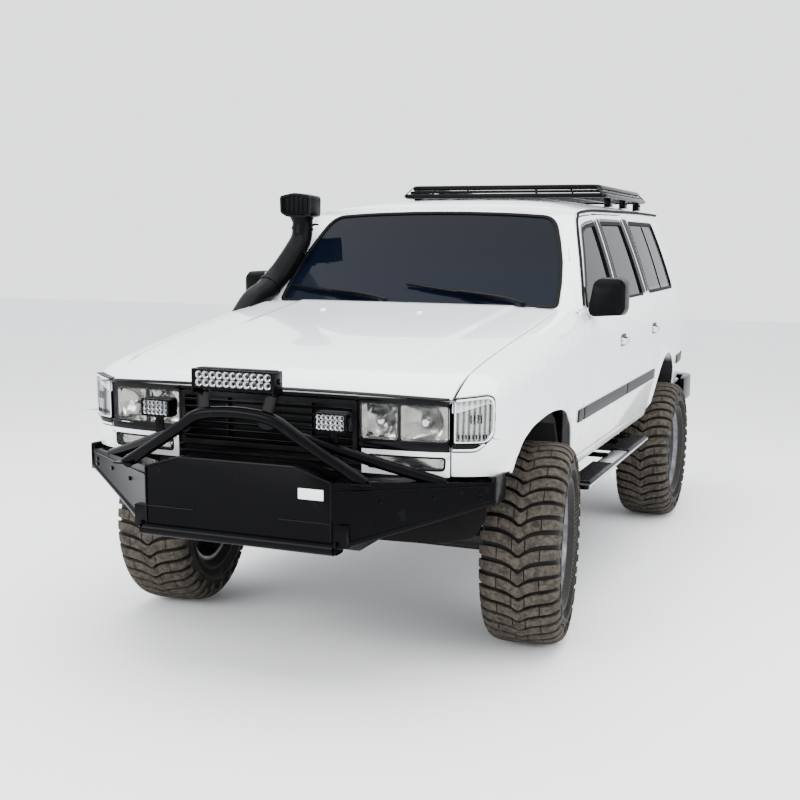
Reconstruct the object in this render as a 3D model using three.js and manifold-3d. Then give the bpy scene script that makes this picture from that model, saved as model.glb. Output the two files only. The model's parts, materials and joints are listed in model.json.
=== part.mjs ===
// Lifted five-door four-wheel-drive estate with a steel front bumper, snorkel and half-length roof rack.
// Millimetres, +Z up, +X to the vehicle's left, -Y forwards. Origin: on the floor, at the middle of the
// overall length. The body sits on its springs nose-down by RAKE, so everything that is sprung is drawn in
// body coordinates (y from the front axle, z from the body's own datum) inside one tilted group.
import * as THREE from "three";
import { mergeVertices } from "three/addons/utils/BufferGeometryUtils.js";
import Module from "manifold-3d";

const wasm = await Module();
wasm.setup();

// ---------------------------------------------------------------- driving dimensions
const WHEELBASE = 2850;
const TYRE_R = 436;              // unloaded radius of the 35 inch tyre
const TYRE_SIDES = 24;
const RIM_R = 232;               // bead seat radius
const WHEEL_X = 852;             // tyre centre from the middle of the vehicle
const KINGPIN_X = 690;
const STEER_REST = THREE.MathUtils.degToRad(8);   // parked with the front wheels turned a little left
const RAKE = THREE.MathUtils.degToRad(1.2);
const SPRUNG_Z = 105;            // body datum above the floor at the front axle
const BODY_HALF_W = 919;
const GAP = 8;                   // shut line between panels
const SEAT = 0.3;                // gap left where two pieces touch
const GLASS_T = 6;
const SKIN_T = 12;               // outer flange of a door
const DOOR_T = 105;              // whole door below the belt
const FRAME_T = 46;              // door frame round the window
const FENDER_T = 10;
const BELT_Z = 1280;
const LEAN = 0.33;                // the greenhouse leans in this much for each mm of height
const SILL_Z = 545;
const FLOOR_Z = 612;
const REAR_BUMPER_Y = 3950;
const WHEEL_Z = TYRE_R * Math.cos(Math.PI / TYRE_SIDES);

const clamp01 = (t) => Math.min(1, Math.max(0, t));
const range = (a, b, n) => Array.from({ length: n + 1 }, (_, i) => a + ((b - a) * i) / n);

// Straight-line reading of a short table of [key, value, value...] rows.
function table(rows, key, column = 1) {
  if (key <= rows[0][0]) return rows[0][column];
  for (let i = 1; i < rows.length; i++)
    if (key <= rows[i][0]) {
      const t = (key - rows[i - 1][0]) / (rows[i][0] - rows[i - 1][0]);
      return rows[i - 1][column] * (1 - t) + rows[i][column] * t;
    }
  return rows[rows.length - 1][column];
}

// ---------------------------------------------------------------- the body's surface
// columns: y, half width, shoulder start z, crown z, squareness of the shoulder
const STATIONS = [
  [-757, 893, 975, 1032, 3.2],
  [-711, 895, 985, 1066, 3.2],
  [-660, 898, 995, 1094, 3.1],
  [-617, 900, 1000, 1112, 3.1],
  [-450, 911, 1022, 1152, 3.2],
  [-200, 917, 1052, 1194, 3.5],
  [100, 919, 1085, 1232, 4.2],
  [400, 919, 1112, 1266, 5.4],
  [613, 919, 1130, 1292, 7.0],
];
// columns: y, half width behind the front doors
const TAIL = [
  [613, 919],
  [2500, 918],
  [3100, 912],
  [3500, 898],
  [3680, 880],
  [3760, 858],
  [3815, 815],
].map(([y, w]) => [y, (w * BODY_HALF_W) / 919]);

const SIDE_ZS = [SILL_Z, 650, 770, 900, 1130, 1190, 1240, BELT_Z, 1800];
const lowerInset = (z) => 48 * clamp01((900 - z) / (900 - SILL_Z)) ** 2;
const halfWidth = (y) => (y < 613 ? (table(STATIONS, y, 1) * BODY_HALF_W) / 919 : table(TAIL, y));

// half width of the body's outside at (y, z)
function sideX(y, z) {
  const w = halfWidth(y);
  if (z >= BELT_Z) return (w / BODY_HALF_W) * (BODY_HALF_W - 54 - LEAN * (z - BELT_Z));
  if (y >= 613) {
    const t = clamp01((z - 1130) / 274);
    return w * (1 - t ** 3) ** (1 / 3) - lowerInset(z);
  }
  const start = table(STATIONS, y, 2);
  const t = clamp01((z - start) / (table(STATIONS, y, 3) - start));
  const n = table(STATIONS, y, 4);
  const nose = y < -617 ? 900 * ((y + 757) / 140) ** (1 / 6.5) : Infinity;
  return Math.min(w * (1 - t ** n) ** (1 / n), nose) - lowerInset(z);
}

// height of the bonnet and cowl at (x, y)
function topZ(x, y) {
  const start = table(STATIONS, y, 2);
  const n = table(STATIONS, y, 4);
  const t = clamp01(Math.abs(x) / halfWidth(Math.min(y, 613)));
  return start + (table(STATIONS, y, 3) - start) * (1 - t ** n) ** (1 / n);
}

const noseY = (x) => -757 + 140 * (Math.abs(x) / 900) ** 6.5;      // plan of the front face
// windscreen: leans back, bowed a little in plan; columns: z, half width of the glass
const glassY = (x, z) => 712 + (z - 1283) * 0.926 + 28 * (Math.abs(x) / 750) ** 2;
const GLASS_EDGE = [[1283, 750], [1437, 731], [1598, 680], [1690, 640], [1745, 600]];
// columns: y, crown of the roof, height of its edge
const ROOF = [
  [1150, 1780, 1734], [1300, 1803, 1750], [1583, 1827, 1764], [2200, 1840, 1772], [3000, 1835, 1780],
  [3600, 1805, 1780],
];
const dripZ = (y) => table(ROOF, y, 2);
const roofZ = (x, y) => {
  const edge = dripZ(y) + 10;
  return table(ROOF, y, 1) - (table(ROOF, y, 1) - edge) * (Math.abs(x) / sideX(y, dripZ(y))) ** 3.4;
};
// columns: z, y of the tail
const tailY = (z) => table([[500, 3790], [1000, 3806], [1200, 3790], [1300, 3748], [1790, 3610]], z);

// ---------------------------------------------------------------- shapes
// signed volume of a closed triangle mesh
function volumeOf(g) {
  const p = new THREE.Vector3();
  const q = new THREE.Vector3();
  const r = new THREE.Vector3();
  let sum = 0;
  for (let i = 0; i < g.index.count; i += 3) {
    p.fromBufferAttribute(g.attributes.position, g.index.getX(i));
    q.fromBufferAttribute(g.attributes.position, g.index.getX(i + 1));
    r.fromBufferAttribute(g.attributes.position, g.index.getX(i + 2));
    sum += p.dot(q.cross(r));
  }
  return sum / 6;
}

function toSolid(geometry) {
  const g = geometry.index ? geometry.toNonIndexed() : geometry.clone();
  g.deleteAttribute("normal");
  g.deleteAttribute("uv");
  const merged = mergeVertices(g, 1e-3);
  if (volumeOf(merged) < 0) merged.index.array.reverse();
  return new wasm.Manifold(
    new wasm.Mesh({
      numProp: 3,
      vertProperties: merged.attributes.position.array,
      triVerts: new Uint32Array(merged.index.array),
    }),
  );
}

function toGeometry(solid) {
  const m = solid.getMesh();
  const positions = new Float32Array(m.numVert * 3);
  for (let i = 0; i < m.numVert; i++)
    for (let k = 0; k < 3; k++) positions[i * 3 + k] = m.vertProperties[i * m.numProp + k];
  const g = new THREE.BufferGeometry();
  g.setAttribute("position", new THREE.BufferAttribute(positions, 3));
  g.setIndex(new THREE.BufferAttribute(m.triVerts, 1));
  return g;
}

const box = (x0, x1, y0, y1, z0, z1) =>
  toSolid(
    new THREE.BoxGeometry(x1 - x0, y1 - y0, z1 - z0).translate((x0 + x1) / 2, (y0 + y1) / 2, (z0 + z1) / 2),
  );

// right-handed turns that carry an extrusion's (u, v, depth) to (y, z, x), (x, z, -y) or (x, y, z)
function prism(axis, outline, low, high) {
  const shape = new THREE.Shape(outline.map(([u, v]) => new THREE.Vector2(u, v)));
  const g = new THREE.ExtrudeGeometry(shape, { depth: high - low, bevelEnabled: false, curveSegments: 6 });
  const m = new THREE.Matrix4();
  if (axis === "x") m.set(0, 0, 1, low, 1, 0, 0, 0, 0, 1, 0, 0, 0, 0, 0, 1);
  if (axis === "y") m.set(1, 0, 0, 0, 0, 0, -1, high, 0, 1, 0, 0, 0, 0, 0, 1);
  if (axis === "z") m.set(1, 0, 0, 0, 0, 1, 0, 0, 0, 0, 1, low, 0, 0, 0, 1);
  return toSolid(g.applyMatrix4(m));
}

function rod(from, to, radius, sides = 10) {
  const a = new THREE.Vector3(...from);
  const b = new THREE.Vector3(...to);
  const g = new THREE.CylinderGeometry(radius, radius, a.distanceTo(b), sides);
  g.applyQuaternion(
    new THREE.Quaternion().setFromUnitVectors(new THREE.Vector3(0, 1, 0), b.clone().sub(a).normalize()),
  );
  return toSolid(g.translate(...a.add(b).multiplyScalar(0.5).toArray()));
}

const ball = (centre, radius, detail = 12) =>
  toSolid(new THREE.SphereGeometry(radius, detail, detail / 2).translate(...centre));

// closed skin through rings of points, flat at both ends
function loft(rings) {
  const n = rings[0].length;
  const positions = [];
  const push = (p) => positions.push(p.x, p.y, p.z);
  rings.forEach((ring) => ring.forEach(push));
  const ends = [rings[0], rings[rings.length - 1]].map((ring) =>
    ring.reduce((a, p) => a.add(p), new THREE.Vector3()).multiplyScalar(1 / n),
  );
  ends.forEach(push);
  const index = [];
  for (let i = 0; i + 1 < rings.length; i++)
    for (let k = 0; k < n; k++) {
      const [a, b] = [i * n + k, i * n + ((k + 1) % n)];
      index.push(a, b, b + n, a, b + n, a + n);
    }
  const last = (rings.length - 1) * n;
  for (let k = 0; k < n; k++) {
    index.push(rings.length * n, (k + 1) % n, k);
    index.push(rings.length * n + 1, last + k, last + ((k + 1) % n));
  }
  const g = new THREE.BufferGeometry();
  g.setAttribute("position", new THREE.Float32BufferAttribute(positions, 3));
  g.setIndex(index);
  return toSolid(g);
}

// a bent tube, mitred at its bends; the ring's start is carried along the path
function tube(points, radius, sides = 8) {
  const path = points.map((p) => new THREE.Vector3(...p));
  const normal = new THREE.Vector3(0.3, 0.5, 0.81);
  const rings = path.map((p, i) => {
    const before = path[Math.max(0, i - 1)];
    const after = path[Math.min(path.length - 1, i + 1)];
    const into = p.clone().sub(before).normalize();
    const out = after.clone().sub(p).normalize();
    const along = into.clone().add(out).normalize();
    normal.addScaledVector(along, -normal.dot(along)).normalize();
    const other = along.clone().cross(normal);
    return range(0, 1, sides).slice(0, sides).map((t) =>
      p.clone().addScaledVector(normal, radius * Math.cos(t * 2 * Math.PI))
        .addScaledVector(other, radius * Math.sin(t * 2 * Math.PI)),
    );
  });
  return loft(rings);
}

// a ring turned about X from [x, radius] points
function turned(profile, sides) {
  const g = new THREE.LatheGeometry(
    profile.map(([x, r]) => new THREE.Vector2(r, x)), sides, Math.PI / sides,
  );
  return toSolid(g.rotateZ(-Math.PI / 2));
}

const join = (...solids) => solids.reduce((a, b) => a.add(b));
const cut = (solid, ...tools) => tools.reduce((a, b) => a.subtract(b), solid);

// a closed skin between two surfaces over a grid of (u, v); place turns (u, v, depth 0 or 1) into a point
function skin(us, vs, place) {
  const nu = us.length;
  const nv = vs.length;
  const positions = [];
  for (const side of [0, 1]) for (const v of vs) for (const u of us) positions.push(...place(u, v, side));
  const index = [];
  const at = (side, i, j) => side * nu * nv + j * nu + i;
  const quad = (a, b, c, d) => index.push(a, b, c, a, c, d);
  for (let j = 0; j + 1 < nv; j++)
    for (let i = 0; i + 1 < nu; i++) {
      quad(at(0, i, j), at(0, i + 1, j), at(0, i + 1, j + 1), at(0, i, j + 1));
      quad(at(1, i, j), at(1, i, j + 1), at(1, i + 1, j + 1), at(1, i + 1, j));
    }
  for (let i = 0; i + 1 < nu; i++) {
    quad(at(0, i + 1, 0), at(0, i, 0), at(1, i, 0), at(1, i + 1, 0));
    quad(at(0, i, nv - 1), at(0, i + 1, nv - 1), at(1, i + 1, nv - 1), at(1, i, nv - 1));
  }
  for (let j = 0; j + 1 < nv; j++) {
    quad(at(0, 0, j), at(0, 0, j + 1), at(1, 0, j + 1), at(1, 0, j));
    quad(at(0, nu - 1, j + 1), at(0, nu - 1, j), at(1, nu - 1, j), at(1, nu - 1, j + 1));
  }
  const g = new THREE.BufferGeometry();
  g.setAttribute("position", new THREE.Float32BufferAttribute(positions, 3));
  g.setIndex(index);
  return toSolid(g);
}

// a slab that follows the body side, from depth d0 to depth d1 under the outside
const sideSlab = (ys, zs, d0, d1) =>
  skin(ys, zs, (y, z, side) => [sideX(y, z) - (side ? d1 : d0), y, z]);

const mirrored = (solid) => toSolid(toGeometry(solid).scale(-1, 1, 1));

// moves each corner of a closed outline outwards by d (inwards when negative)
function offset(outline, d) {
  const n = outline.length;
  const area = outline.reduce((s, [a, b], i) => {
    const [c, e] = outline[(i + 1) % n];
    return s + a * e - c * b;
  }, 0);
  const k = area > 0 ? d : -d;
  return outline.map((p, i) => {
    const a = outline[(i + n - 1) % n];
    const c = outline[(i + 1) % n];
    const e1 = new THREE.Vector2(p[0] - a[0], p[1] - a[1]).normalize();
    const e2 = new THREE.Vector2(c[0] - p[0], c[1] - p[1]).normalize();
    const scale = k / (1 + e1.dot(e2));
    return [p[0] + (e1.y + e2.y) * scale, p[1] - (e1.x + e2.x) * scale];
  });
}

const arc = (cy, cz, r, from, to, n) =>
  range(from, to, n).map((a) => {
    const t = THREE.MathUtils.degToRad(a);
    return [cy + r * Math.cos(t), cz + r * Math.sin(t)];
  });

// ---------------------------------------------------------------- pieces
const vehicle = new THREE.Group();
const sprung = new THREE.Group();
sprung.rotation.x = RAKE;
sprung.position.z = SPRUNG_Z;
vehicle.add(sprung);

const paint = new THREE.MeshStandardMaterial({ color: 0xe9eaec, roughness: 0.25, metalness: 0.1 });
const blackSteel = new THREE.MeshStandardMaterial({ color: 0x15161a, roughness: 0.45, metalness: 0.4 });
const blackPlastic = new THREE.MeshStandardMaterial({ color: 0x1b1c1f, roughness: 0.6, metalness: 0 });
const rubber = new THREE.MeshStandardMaterial({ color: 0x2c2824, roughness: 0.9, metalness: 0 });
const alloy = new THREE.MeshStandardMaterial({ color: 0x6d7076, roughness: 0.35, metalness: 0.9 });
const castIron = new THREE.MeshStandardMaterial({ color: 0x33322f, roughness: 0.7, metalness: 0.5 });
const tinted = new THREE.MeshStandardMaterial({ color: 0x252a33, roughness: 0.05, metalness: 0 });
const clear = new THREE.MeshStandardMaterial({ color: 0xc9c9c5, roughness: 0.08, metalness: 0.1 });
const redLens = new THREE.MeshStandardMaterial({ color: 0x8c1414, roughness: 0.15, metalness: 0 });
const cloth = new THREE.MeshStandardMaterial({ color: 0x4a4b4e, roughness: 0.95, metalness: 0 });

function piece(name, solid, material, group = sprung) {
  const mesh = new THREE.Mesh(toGeometry(solid), material);
  mesh.name = name;
  group.add(mesh);
  return mesh;
}
function pair(name, solid, material) {
  piece(name + "_left", solid, material);
  piece(name + "_right", mirrored(solid), material);
}

// ---- outlines in side view, [y, z]
const doorTop = (y) => [y, dripZ(y) - 21];
const DOOR_FRONT = [
  [606, 600], [1588, 600], [1588, 1300], doorTop(1578), doorTop(1300), doorTop(1190), [1138, 1690],
  [812, 1306], [780, 1278], [628, 1262], [606, 1180],
];
const ARCH_R = 440;
const ARCH_Z = 459;
const DOOR_REAR = [
  [1596, 600], [2388, 600], [2416, 664], [2450, 738], [2450, 1180], [2400, 1270], [2330, 1400], doorTop(2262),
  doorTop(1586), [1596, 1300],
];
const WINDOW_FRONT = [
  [862, BELT_Z + 12], [1522, BELT_Z + 12], [1512, 1698], [1300, 1682], [1196, 1664], [874, 1320],
];
const WINDOW_REAR = [[1672, BELT_Z + 12], [2290, BELT_Z + 12], [2200, 1708], [1660, 1705]];
const WINDOW_QUARTER = [[2480, BELT_Z + 20], [3400, BELT_Z + 20], [3240, 1715], [2420, 1715]];
const FRONT_ARCH = [
  [-520, 520], [-494, 730], [-440, 800], [-330, 862], [-150, 893], [60, 899], [240, 870], [350, 790],
  [420, 660], [446, 560], [472, 480],
];
const rearArch = (r) => [
  [WHEELBASE - r, ARCH_Z - 60], ...arc(WHEELBASE, ARCH_Z, r, 180, 0, 10), [WHEELBASE + r, ARCH_Z - 60],
];

// ---- doors; each hinge stands forward of the door's box to its post
const HINGE_GAP = 13;
function door(outline, window, ys) {
  const flange = sideSlab(ys, SIDE_ZS, 0, SKIN_T).intersect(prism("x", outline, 500, 1000));
  const inner = offset(outline, -32);
  const low = sideSlab(ys, SIDE_ZS, SKIN_T - 2, DOOR_T)
    .intersect(prism("x", inner, 500, 1000))
    .subtract(box(0, 1000, 0, 4000, BELT_Z, 2000));
  const high = sideSlab(ys, [1250, BELT_Z, 1800], SKIN_T - 2, FRAME_T)
    .intersect(prism("x", inner, 500, 1000));
  const hinges = [720, 1020].map((z) =>
    box(840, 890, outline[0][0] + HINGE_GAP + SEAT, outline[0][0] + 40, z, z + 90),
  );
  return cut(join(flange, low, high, ...hinges), prism("x", window, 400, 1000));
}
// glass sits in the middle of the frame, SEAT clear of the window's edge
function sideGlass(window, ys, depth) {
  return sideSlab(ys, [BELT_Z, 1800], depth, depth + GLASS_T).intersect(
    prism("x", offset(window, -SEAT), 400, 1000),
  );
}
const GLASS_DEPTH = 20;
const doorFrontYs = [600, 613, 1000, 1300, 1595];
const doorRearYs = [1580, 1850, 2150, 2460];
pair("door_front", door(DOOR_FRONT, WINDOW_FRONT, doorFrontYs), paint);
pair("door_rear", door(DOOR_REAR, WINDOW_REAR, doorRearYs), paint);
pair("glass_front", sideGlass(WINDOW_FRONT, doorFrontYs, GLASS_DEPTH), tinted);
pair("glass_rear", sideGlass(WINDOW_REAR, doorRearYs, GLASS_DEPTH), tinted);
pair("quarter_glass", sideGlass(WINDOW_QUARTER, [2340, 2500, 2800, 3100, 3390], GLASS_DEPTH), tinted);

// door mirrors stand on the front corner of each front window
const MIRROR = { y: 791, x0: 884, x1: 1070, z0: 1244, z1: 1434, depth: 114, pivotX: 902, pivotY: 846 };
const MIRROR_FOLD = THREE.MathUtils.degToRad(-68);     // the right one is folded back
function mirrorHead() {
  return prism("y", [
    [MIRROR.x0, MIRROR.z0 + 34], [MIRROR.x0 + 22, MIRROR.z0], [MIRROR.x1 - 16, MIRROR.z0 + 14],
    [MIRROR.x1, MIRROR.z0 + 40], [MIRROR.x1, MIRROR.z1 - 22], [MIRROR.x1 - 22, MIRROR.z1],
    [MIRROR.x0 + 52, MIRROR.z1], [MIRROR.x0 + 34, MIRROR.z1 - 14],
  ], MIRROR.y - MIRROR.depth / 2, MIRROR.y + MIRROR.depth / 2);
}
function mirrorFoot() {
  const sail = sideSlab([800, 900], [BELT_Z, 1420], -14, -SEAT).intersect(
    prism("x", [[838, 1296], [900, 1296], [900, 1384]], 500, 1000),
  );
  return join(sail, box(sideX(900, 1300) + SEAT + 2, MIRROR.pivotX + 18, 826, 866, 1300, 1330));
}
function foldedHead() {
  const g = toGeometry(mirrored(mirrorHead()));
  g.translate(MIRROR.pivotX, -MIRROR.pivotY, 0).rotateZ(MIRROR_FOLD);
  g.translate(-MIRROR.pivotX, MIRROR.pivotY, 0);
  return toSolid(g);
}
piece("mirror_left", join(mirrorHead(), mirrorFoot()), blackPlastic);
piece("mirror_right", join(foldedHead(), mirrored(mirrorFoot())), blackPlastic);

// ---- bonnet: outside surface, rolled front edge, rear edge at the cowl
const BONNET_REAR_Y = 640;
const bonnetHalf = (y) => table([[-757, 742], [-700, 746], [613, 778], [700, 778]], y);
const BONNET_T = 28;
const BONNET_LIP = 12;
function bonnet() {
  const hinge = box(640, 700, 578, 598, 1240 + SEAT, 1264);
  const vs = [0, 0.03, 0.07, 0.13, 0.2, 0.3, 0.42, 0.55, 0.7, 0.85, 1];
  const us = [-1, -0.94, -0.8, -0.5, 0, 0.5, 0.8, 0.94, 1];
  const panel = skin(us, vs, (u, v, side) => {
    const front = noseY(u * bonnetHalf(-700));
    const y = front + (BONNET_REAR_Y - front) * v;
    const x = u * (bonnetHalf(y) - GAP / 2);
    return [x, y, topZ(x, y) - (side ? BONNET_LIP + (BONNET_T - BONNET_LIP) * v : 0)];
  });
  return join(panel, hinge, mirrored(hinge));
}
piece("bonnet", bonnet(), paint);

const POST_FRONT_Y = 600;         // front of the hinge post outside the inner wing
// ---- fenders: side skin with the wheel arch cut, the shoulder up to the bonnet's shut line
function fender() {
  const ys = [-711, -690, -660, -617, -530, -450, -325, -200, -50, 100, 250, 400, 520, 598];
  const up = [0, 0.12, 0.25, 0.4, 0.55, 0.7, 0.8, 0.88, 0.94, 0.975, 1];
  const foot = 560;
  const top = (y) => topZ(bonnetHalf(y) + GAP / 2, y);
  const sheet = skin(ys, up, (y, u, side) => {
    const z = foot + (top(y) - foot) * u;
    const x = sideX(y, z);
    const lean = clamp01((u - 0.7) / 0.3);
    return [x - (side ? FENDER_T * (1 - 0.4 * lean) : 0), y, z - (side ? FENDER_T * lean : 0)];
  });
  const lower = prism("x", [
    [-720, 500], [-720, 742], [-560, 752], [-494, 730], [-520, 500],
  ], 500, 1000);
  const lampPocket = box(600, 1000, -760, -560, 852, 1022);
  // the rear edge is turned in and bolts to the hinge post
  const flange = sideSlab([588, POST_FRONT_Y - SEAT], [640, 770, 900, 1080], 4, 35);
  return cut(join(sheet, flange), prism("x", FRONT_ARCH, 500, 1000), lower, lampPocket);
}
pair("front_fender", fender(), paint);

// ---- lamps and grille in the front face
const LAMP = { z0: 860, z1: 1014, x0: 386, x1: 738 };
function faceSlab(x0, x1, z0, z1, d0, d1, columns = 5) {
  return skin(range(x0, x1, columns), [z0, z1], (x, z, side) => [x, noseY(x) + (side ? d1 : d0), z]);
}
function headlamp() {
  const main = faceSlab(LAMP.x0, LAMP.x1, LAMP.z0, LAMP.z1, 2, 70, 3);
  const corner = skin(range(0, 1, 5), [LAMP.z0, LAMP.z1], (u, z, side) => {
    const x = LAMP.x1 - 1 + u * (884 - LAMP.x1);
    return side ? [x - 34, noseY(x) + 60, z] : [x, noseY(x) + 3, z];
  });
  return join(main, corner);
}
pair("headlamp", headlamp(), clear);
function grille() {
  const frame = faceSlab(-(LAMP.x0 - SEAT), LAMP.x0 - SEAT, 796, 1012, 4, 40, 4);
  const slats = range(0, 5, 5).map((i) => box(-330, 330, -770, -742, 820 + i * 30, 838 + i * 30));
  return cut(frame, ...slats);
}
piece("grille", grille(), blackPlastic);
function apron() {
  const strip = faceSlab(-738, 738, 738, 790, 0, 24, 10);
  const side = faceSlab(400, 738, 738, LAMP.z0 - 6, 0, 24, 5);
  const lampHole = box(424, 728, -800, -600, 758, 816);
  return cut(join(strip, side, mirrored(side)), lampHole, mirrored(lampHole));
}
piece("front_apron", apron(), paint);

const HOUSE_X = 612;              // inner face of the rear wheel house
const ROOF_T = 22;

const cowlZ = (x, y) => topZ(x, 613) - 1 - 0.12 * (y - 640);
const TAIL_LAMP = { x0: 726, x1: 852, z0: 806, z1: 1180, back: 3735 };

// ---- the body tub: sides, roof, pillars, floor, firewall, wheel houses
function bodyShell() {
  const ys = [598, 613, 2500, 3100, 3500, 3680, 3760, 3800];
  const sideOutline = [
    [598, SILL_Z], [3792, SILL_Z + 60], [tailY(1000) - 4, 1000], [tailY(1200) - 4, 1200], [tailY(1300), 1300],
    [tailY(1780), 1780], [3000, 1780], [2200, 1772], [1583, 1764], [1300, 1750], [1150, 1734], [790, 1290],
    [598, 1240],
  ];
  let side = sideSlab(ys, SIDE_ZS, 0, 70).intersect(prism("x", sideOutline, 300, 1000));
  side = cut(
    side,
    prism("x", offset(DOOR_FRONT, GAP), 300, 1000),
    prism("x", offset(DOOR_REAR, GAP), 300, 1000),
    box(300, 1000, 1550, 1640, 592, 1758),
    prism("x", WINDOW_QUARTER, 300, 1000),
    prism("x", rearArch(ARCH_R), 500, 1000),
  );
  const hingePost = sideSlab([596, 613, 640], SIDE_ZS, SKIN_T + 8, 120).intersect(
    box(700, 1000, 596, DOOR_FRONT[0][0] + HINGE_GAP, SILL_Z + 40, 1236),
  );
  const midPostRear = DOOR_REAR[0][0] + HINGE_GAP;
  const midPost = sideSlab([1560, 1630], SIDE_ZS, SKIN_T + 8, 85).intersect(
    prism("x", [
      [1575, 590], [midPostRear, 590], [midPostRear, 1300], [1600, 1766], [1565, 1766], [1575, 1300],
    ], 300, 1000),
  );
  // A-pillar: a lofted bar from the cowl corner to the roof's front corner
  const pillar = skin([0, 1], [1284, 1437, 1598, 1700, 1745], (u, z, s) => {
    const edge = table(GLASS_EDGE, z) + 4;
    if (!u) return [edge, glassY(edge, z) + (s ? 60 : 0), z];
    const back = 786 + (z - 1283) * 0.835;
    return [sideX(back, Math.max(z, BELT_Z)) - (s ? 50 : 1), back - (s ? 2 : 14), z];
  });
  const wheelHouse = cut(
    prism("x", rearArch(ARCH_R + 22), HOUSE_X - 24, 880),
    prism("x", rearArch(ARCH_R + 2), HOUSE_X, 1000),
    box(500, 1000, 2000, 3700, 300, FLOOR_Z - 40),
  );
  const sill = box(800, 850, 598, 2400, SILL_Z + 8, 590);
  const apronWall = box(505, 530, -660, 590, 655, 1003);
  const apronRoof = cut(
    prism("x", offset(FRONT_ARCH, 24), 506, 850),
    prism("x", offset(FRONT_ARCH, 4), 529, 1000),
    box(500, 1000, -700, 620, 300, 655),
  );
  const fenderRail = box(505, 735, -630, 600, 985, 1003);
  let half = join(side, hingePost, midPost, pillar, wheelHouse, sill, apronWall, apronRoof, fenderRail);
  half = half.subtract(box(846, 1000, -800, POST_FRONT_Y, 300, 1300));

  const roofYs = [1150, 1220, 1300, 1583, 2200, 3000, 3300, 3600];
  const roof = skin([-1, -0.96, -0.88, -0.65, 0, 0.65, 0.88, 0.96, 1], roofYs, (u, y, s) => {
    const x = u * (sideX(y, dripZ(y)) - 1);
    return [x, y, roofZ(x, y) - (s ? ROOF_T : 0)];
  });
  const header = skin(range(-1, 1, 8), [0, 1], (u, v, s) => {
    const x = u * 640;
    const z = 1750 - 32 * u * u + v * 24;
    return [x, glassY(x, z) + (s ? 70 : 2), z];
  });
  const floor = box(-860, 860, 598, 3760, FLOOR_Z, FLOOR_Z + 16);
  const firewall = box(-846, 846, 575, 600, FLOOR_Z, 1240);
  const toeBoard = box(-846, 846, 575, 625, FLOOR_Z - 14, FLOOR_Z + 8);
  const cowl = skin([-1, -0.85, -0.4, 0, 0.4, 0.85, 1], [BONNET_REAR_Y + GAP, 720, 800], (u, y, s) => {
    const x = u * 762;
    return [x, y, s ? 1225 : cowlZ(x, y)];
  });
  const cowlFront = box(-762, 762, 575, 700, 1225, 1240);
  const tailSill = box(-800, 800, 3690, 3782, FLOOR_Z - 20, 690);
  const tailHead = box(-660, 660, 3540, 3602, 1756, 1792);
  const radiatorPanel = box(-545, 545, -680, -640, 640, 1015);
  let shell = join(half, mirrored(half), roof, header, floor, firewall, toeBoard, cowl, cowlFront, tailSill,
    tailHead, radiatorPanel);
  const tailCutLow = prism("y", [[-700, 698], [700, 698], [716, 1230], [-716, 1230]], 3640, 4000);
  const tailCutHigh = prism("x", [[3560, 1215], [3900, 1215], [3900, 1900], [3604, 1900], [3604, 1748],
    [3560, 1748]], -690, 690);
  shell = shell.subtract(tailCutLow).subtract(tailCutHigh);
  const lampPocket = box(TAIL_LAMP.x0 - SEAT, 1000, TAIL_LAMP.back - SEAT, 4000, TAIL_LAMP.z0 - SEAT,
    TAIL_LAMP.z1 + SEAT);
  const archCut = prism("x", rearArch(ARCH_R), HOUSE_X + 2, 1000);
  const underFloor = join(archCut, mirrored(archCut));
  return cut(shell, underFloor, lampPocket, mirrored(lampPocket));
}
piece("body_shell", bodyShell(), paint);

// ---- windscreen
function windscreen() {
  const zs = [1296, 1450, 1600, 1742];
  return skin(range(-1, 1, 8), zs, (u, z, s) => {
    const x = u * (table(GLASS_EDGE, z) + 10);
    const level = z - (z > 1700 ? 24 * u * u : 0);
    return [x, glassY(x, level) - 2 * SEAT - (s ? 0 : GLASS_T), level];
  });
}
piece("windscreen", windscreen(), tinted);

// ---- tailgate: upper half hinged under the roof, lower half hinged at the floor
const TAIL_SPLIT_Z = 1236;
const tailHalf = (z) => table([[700, 708], [TAIL_SPLIT_Z, 716], [1300, 712], [1790, 560]], z);
function tailPanel(zs, thick, inset = 0) {
  return skin([-1, -0.6, 0, 0.6, 1], zs, (u, z, s) => {
    const x = u * (tailHalf(z) - GAP - inset);
    return [x, tailY(z) + 14 * (1 - u * u) - (s ? thick : 0), z];
  });
}
const TAIL_GLASS = [[-560, 1312], [560, 1312], [480, 1690], [-480, 1690]];
function tailgateUpper() {
  const panel = tailPanel([TAIL_SPLIT_Z + GAP, 1300, 1746], 46);
  const hinge = box(300, 360, 3602 + SEAT, 3628, 1735, 1760);
  return cut(join(panel, hinge, mirrored(hinge)), prism("y", TAIL_GLASS, 3400, 4000));
}
piece("tailgate_upper", tailgateUpper(), paint);
function tailgateLower() {
  const panel = tailPanel([706, 1000, 1200, TAIL_SPLIT_Z], 60);
  const hinge = box(420, 480, 3745, 3775, 690 + SEAT, 712);
  return join(panel, hinge, mirrored(hinge));
}
piece("tailgate_lower", tailgateLower(), paint);
function rearGlass() {
  const sheet = skin([-1, -0.6, 0, 0.6, 1], [1305, 1700], (u, z, s) => {
    const x = u * 600;
    return [x, tailY(z) - 6 - (s ? GLASS_T : 0), z];
  });
  return sheet.intersect(prism("y", offset(TAIL_GLASS, -SEAT), 3400, 4000));
}
piece("rear_glass", rearGlass(), tinted);

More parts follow.
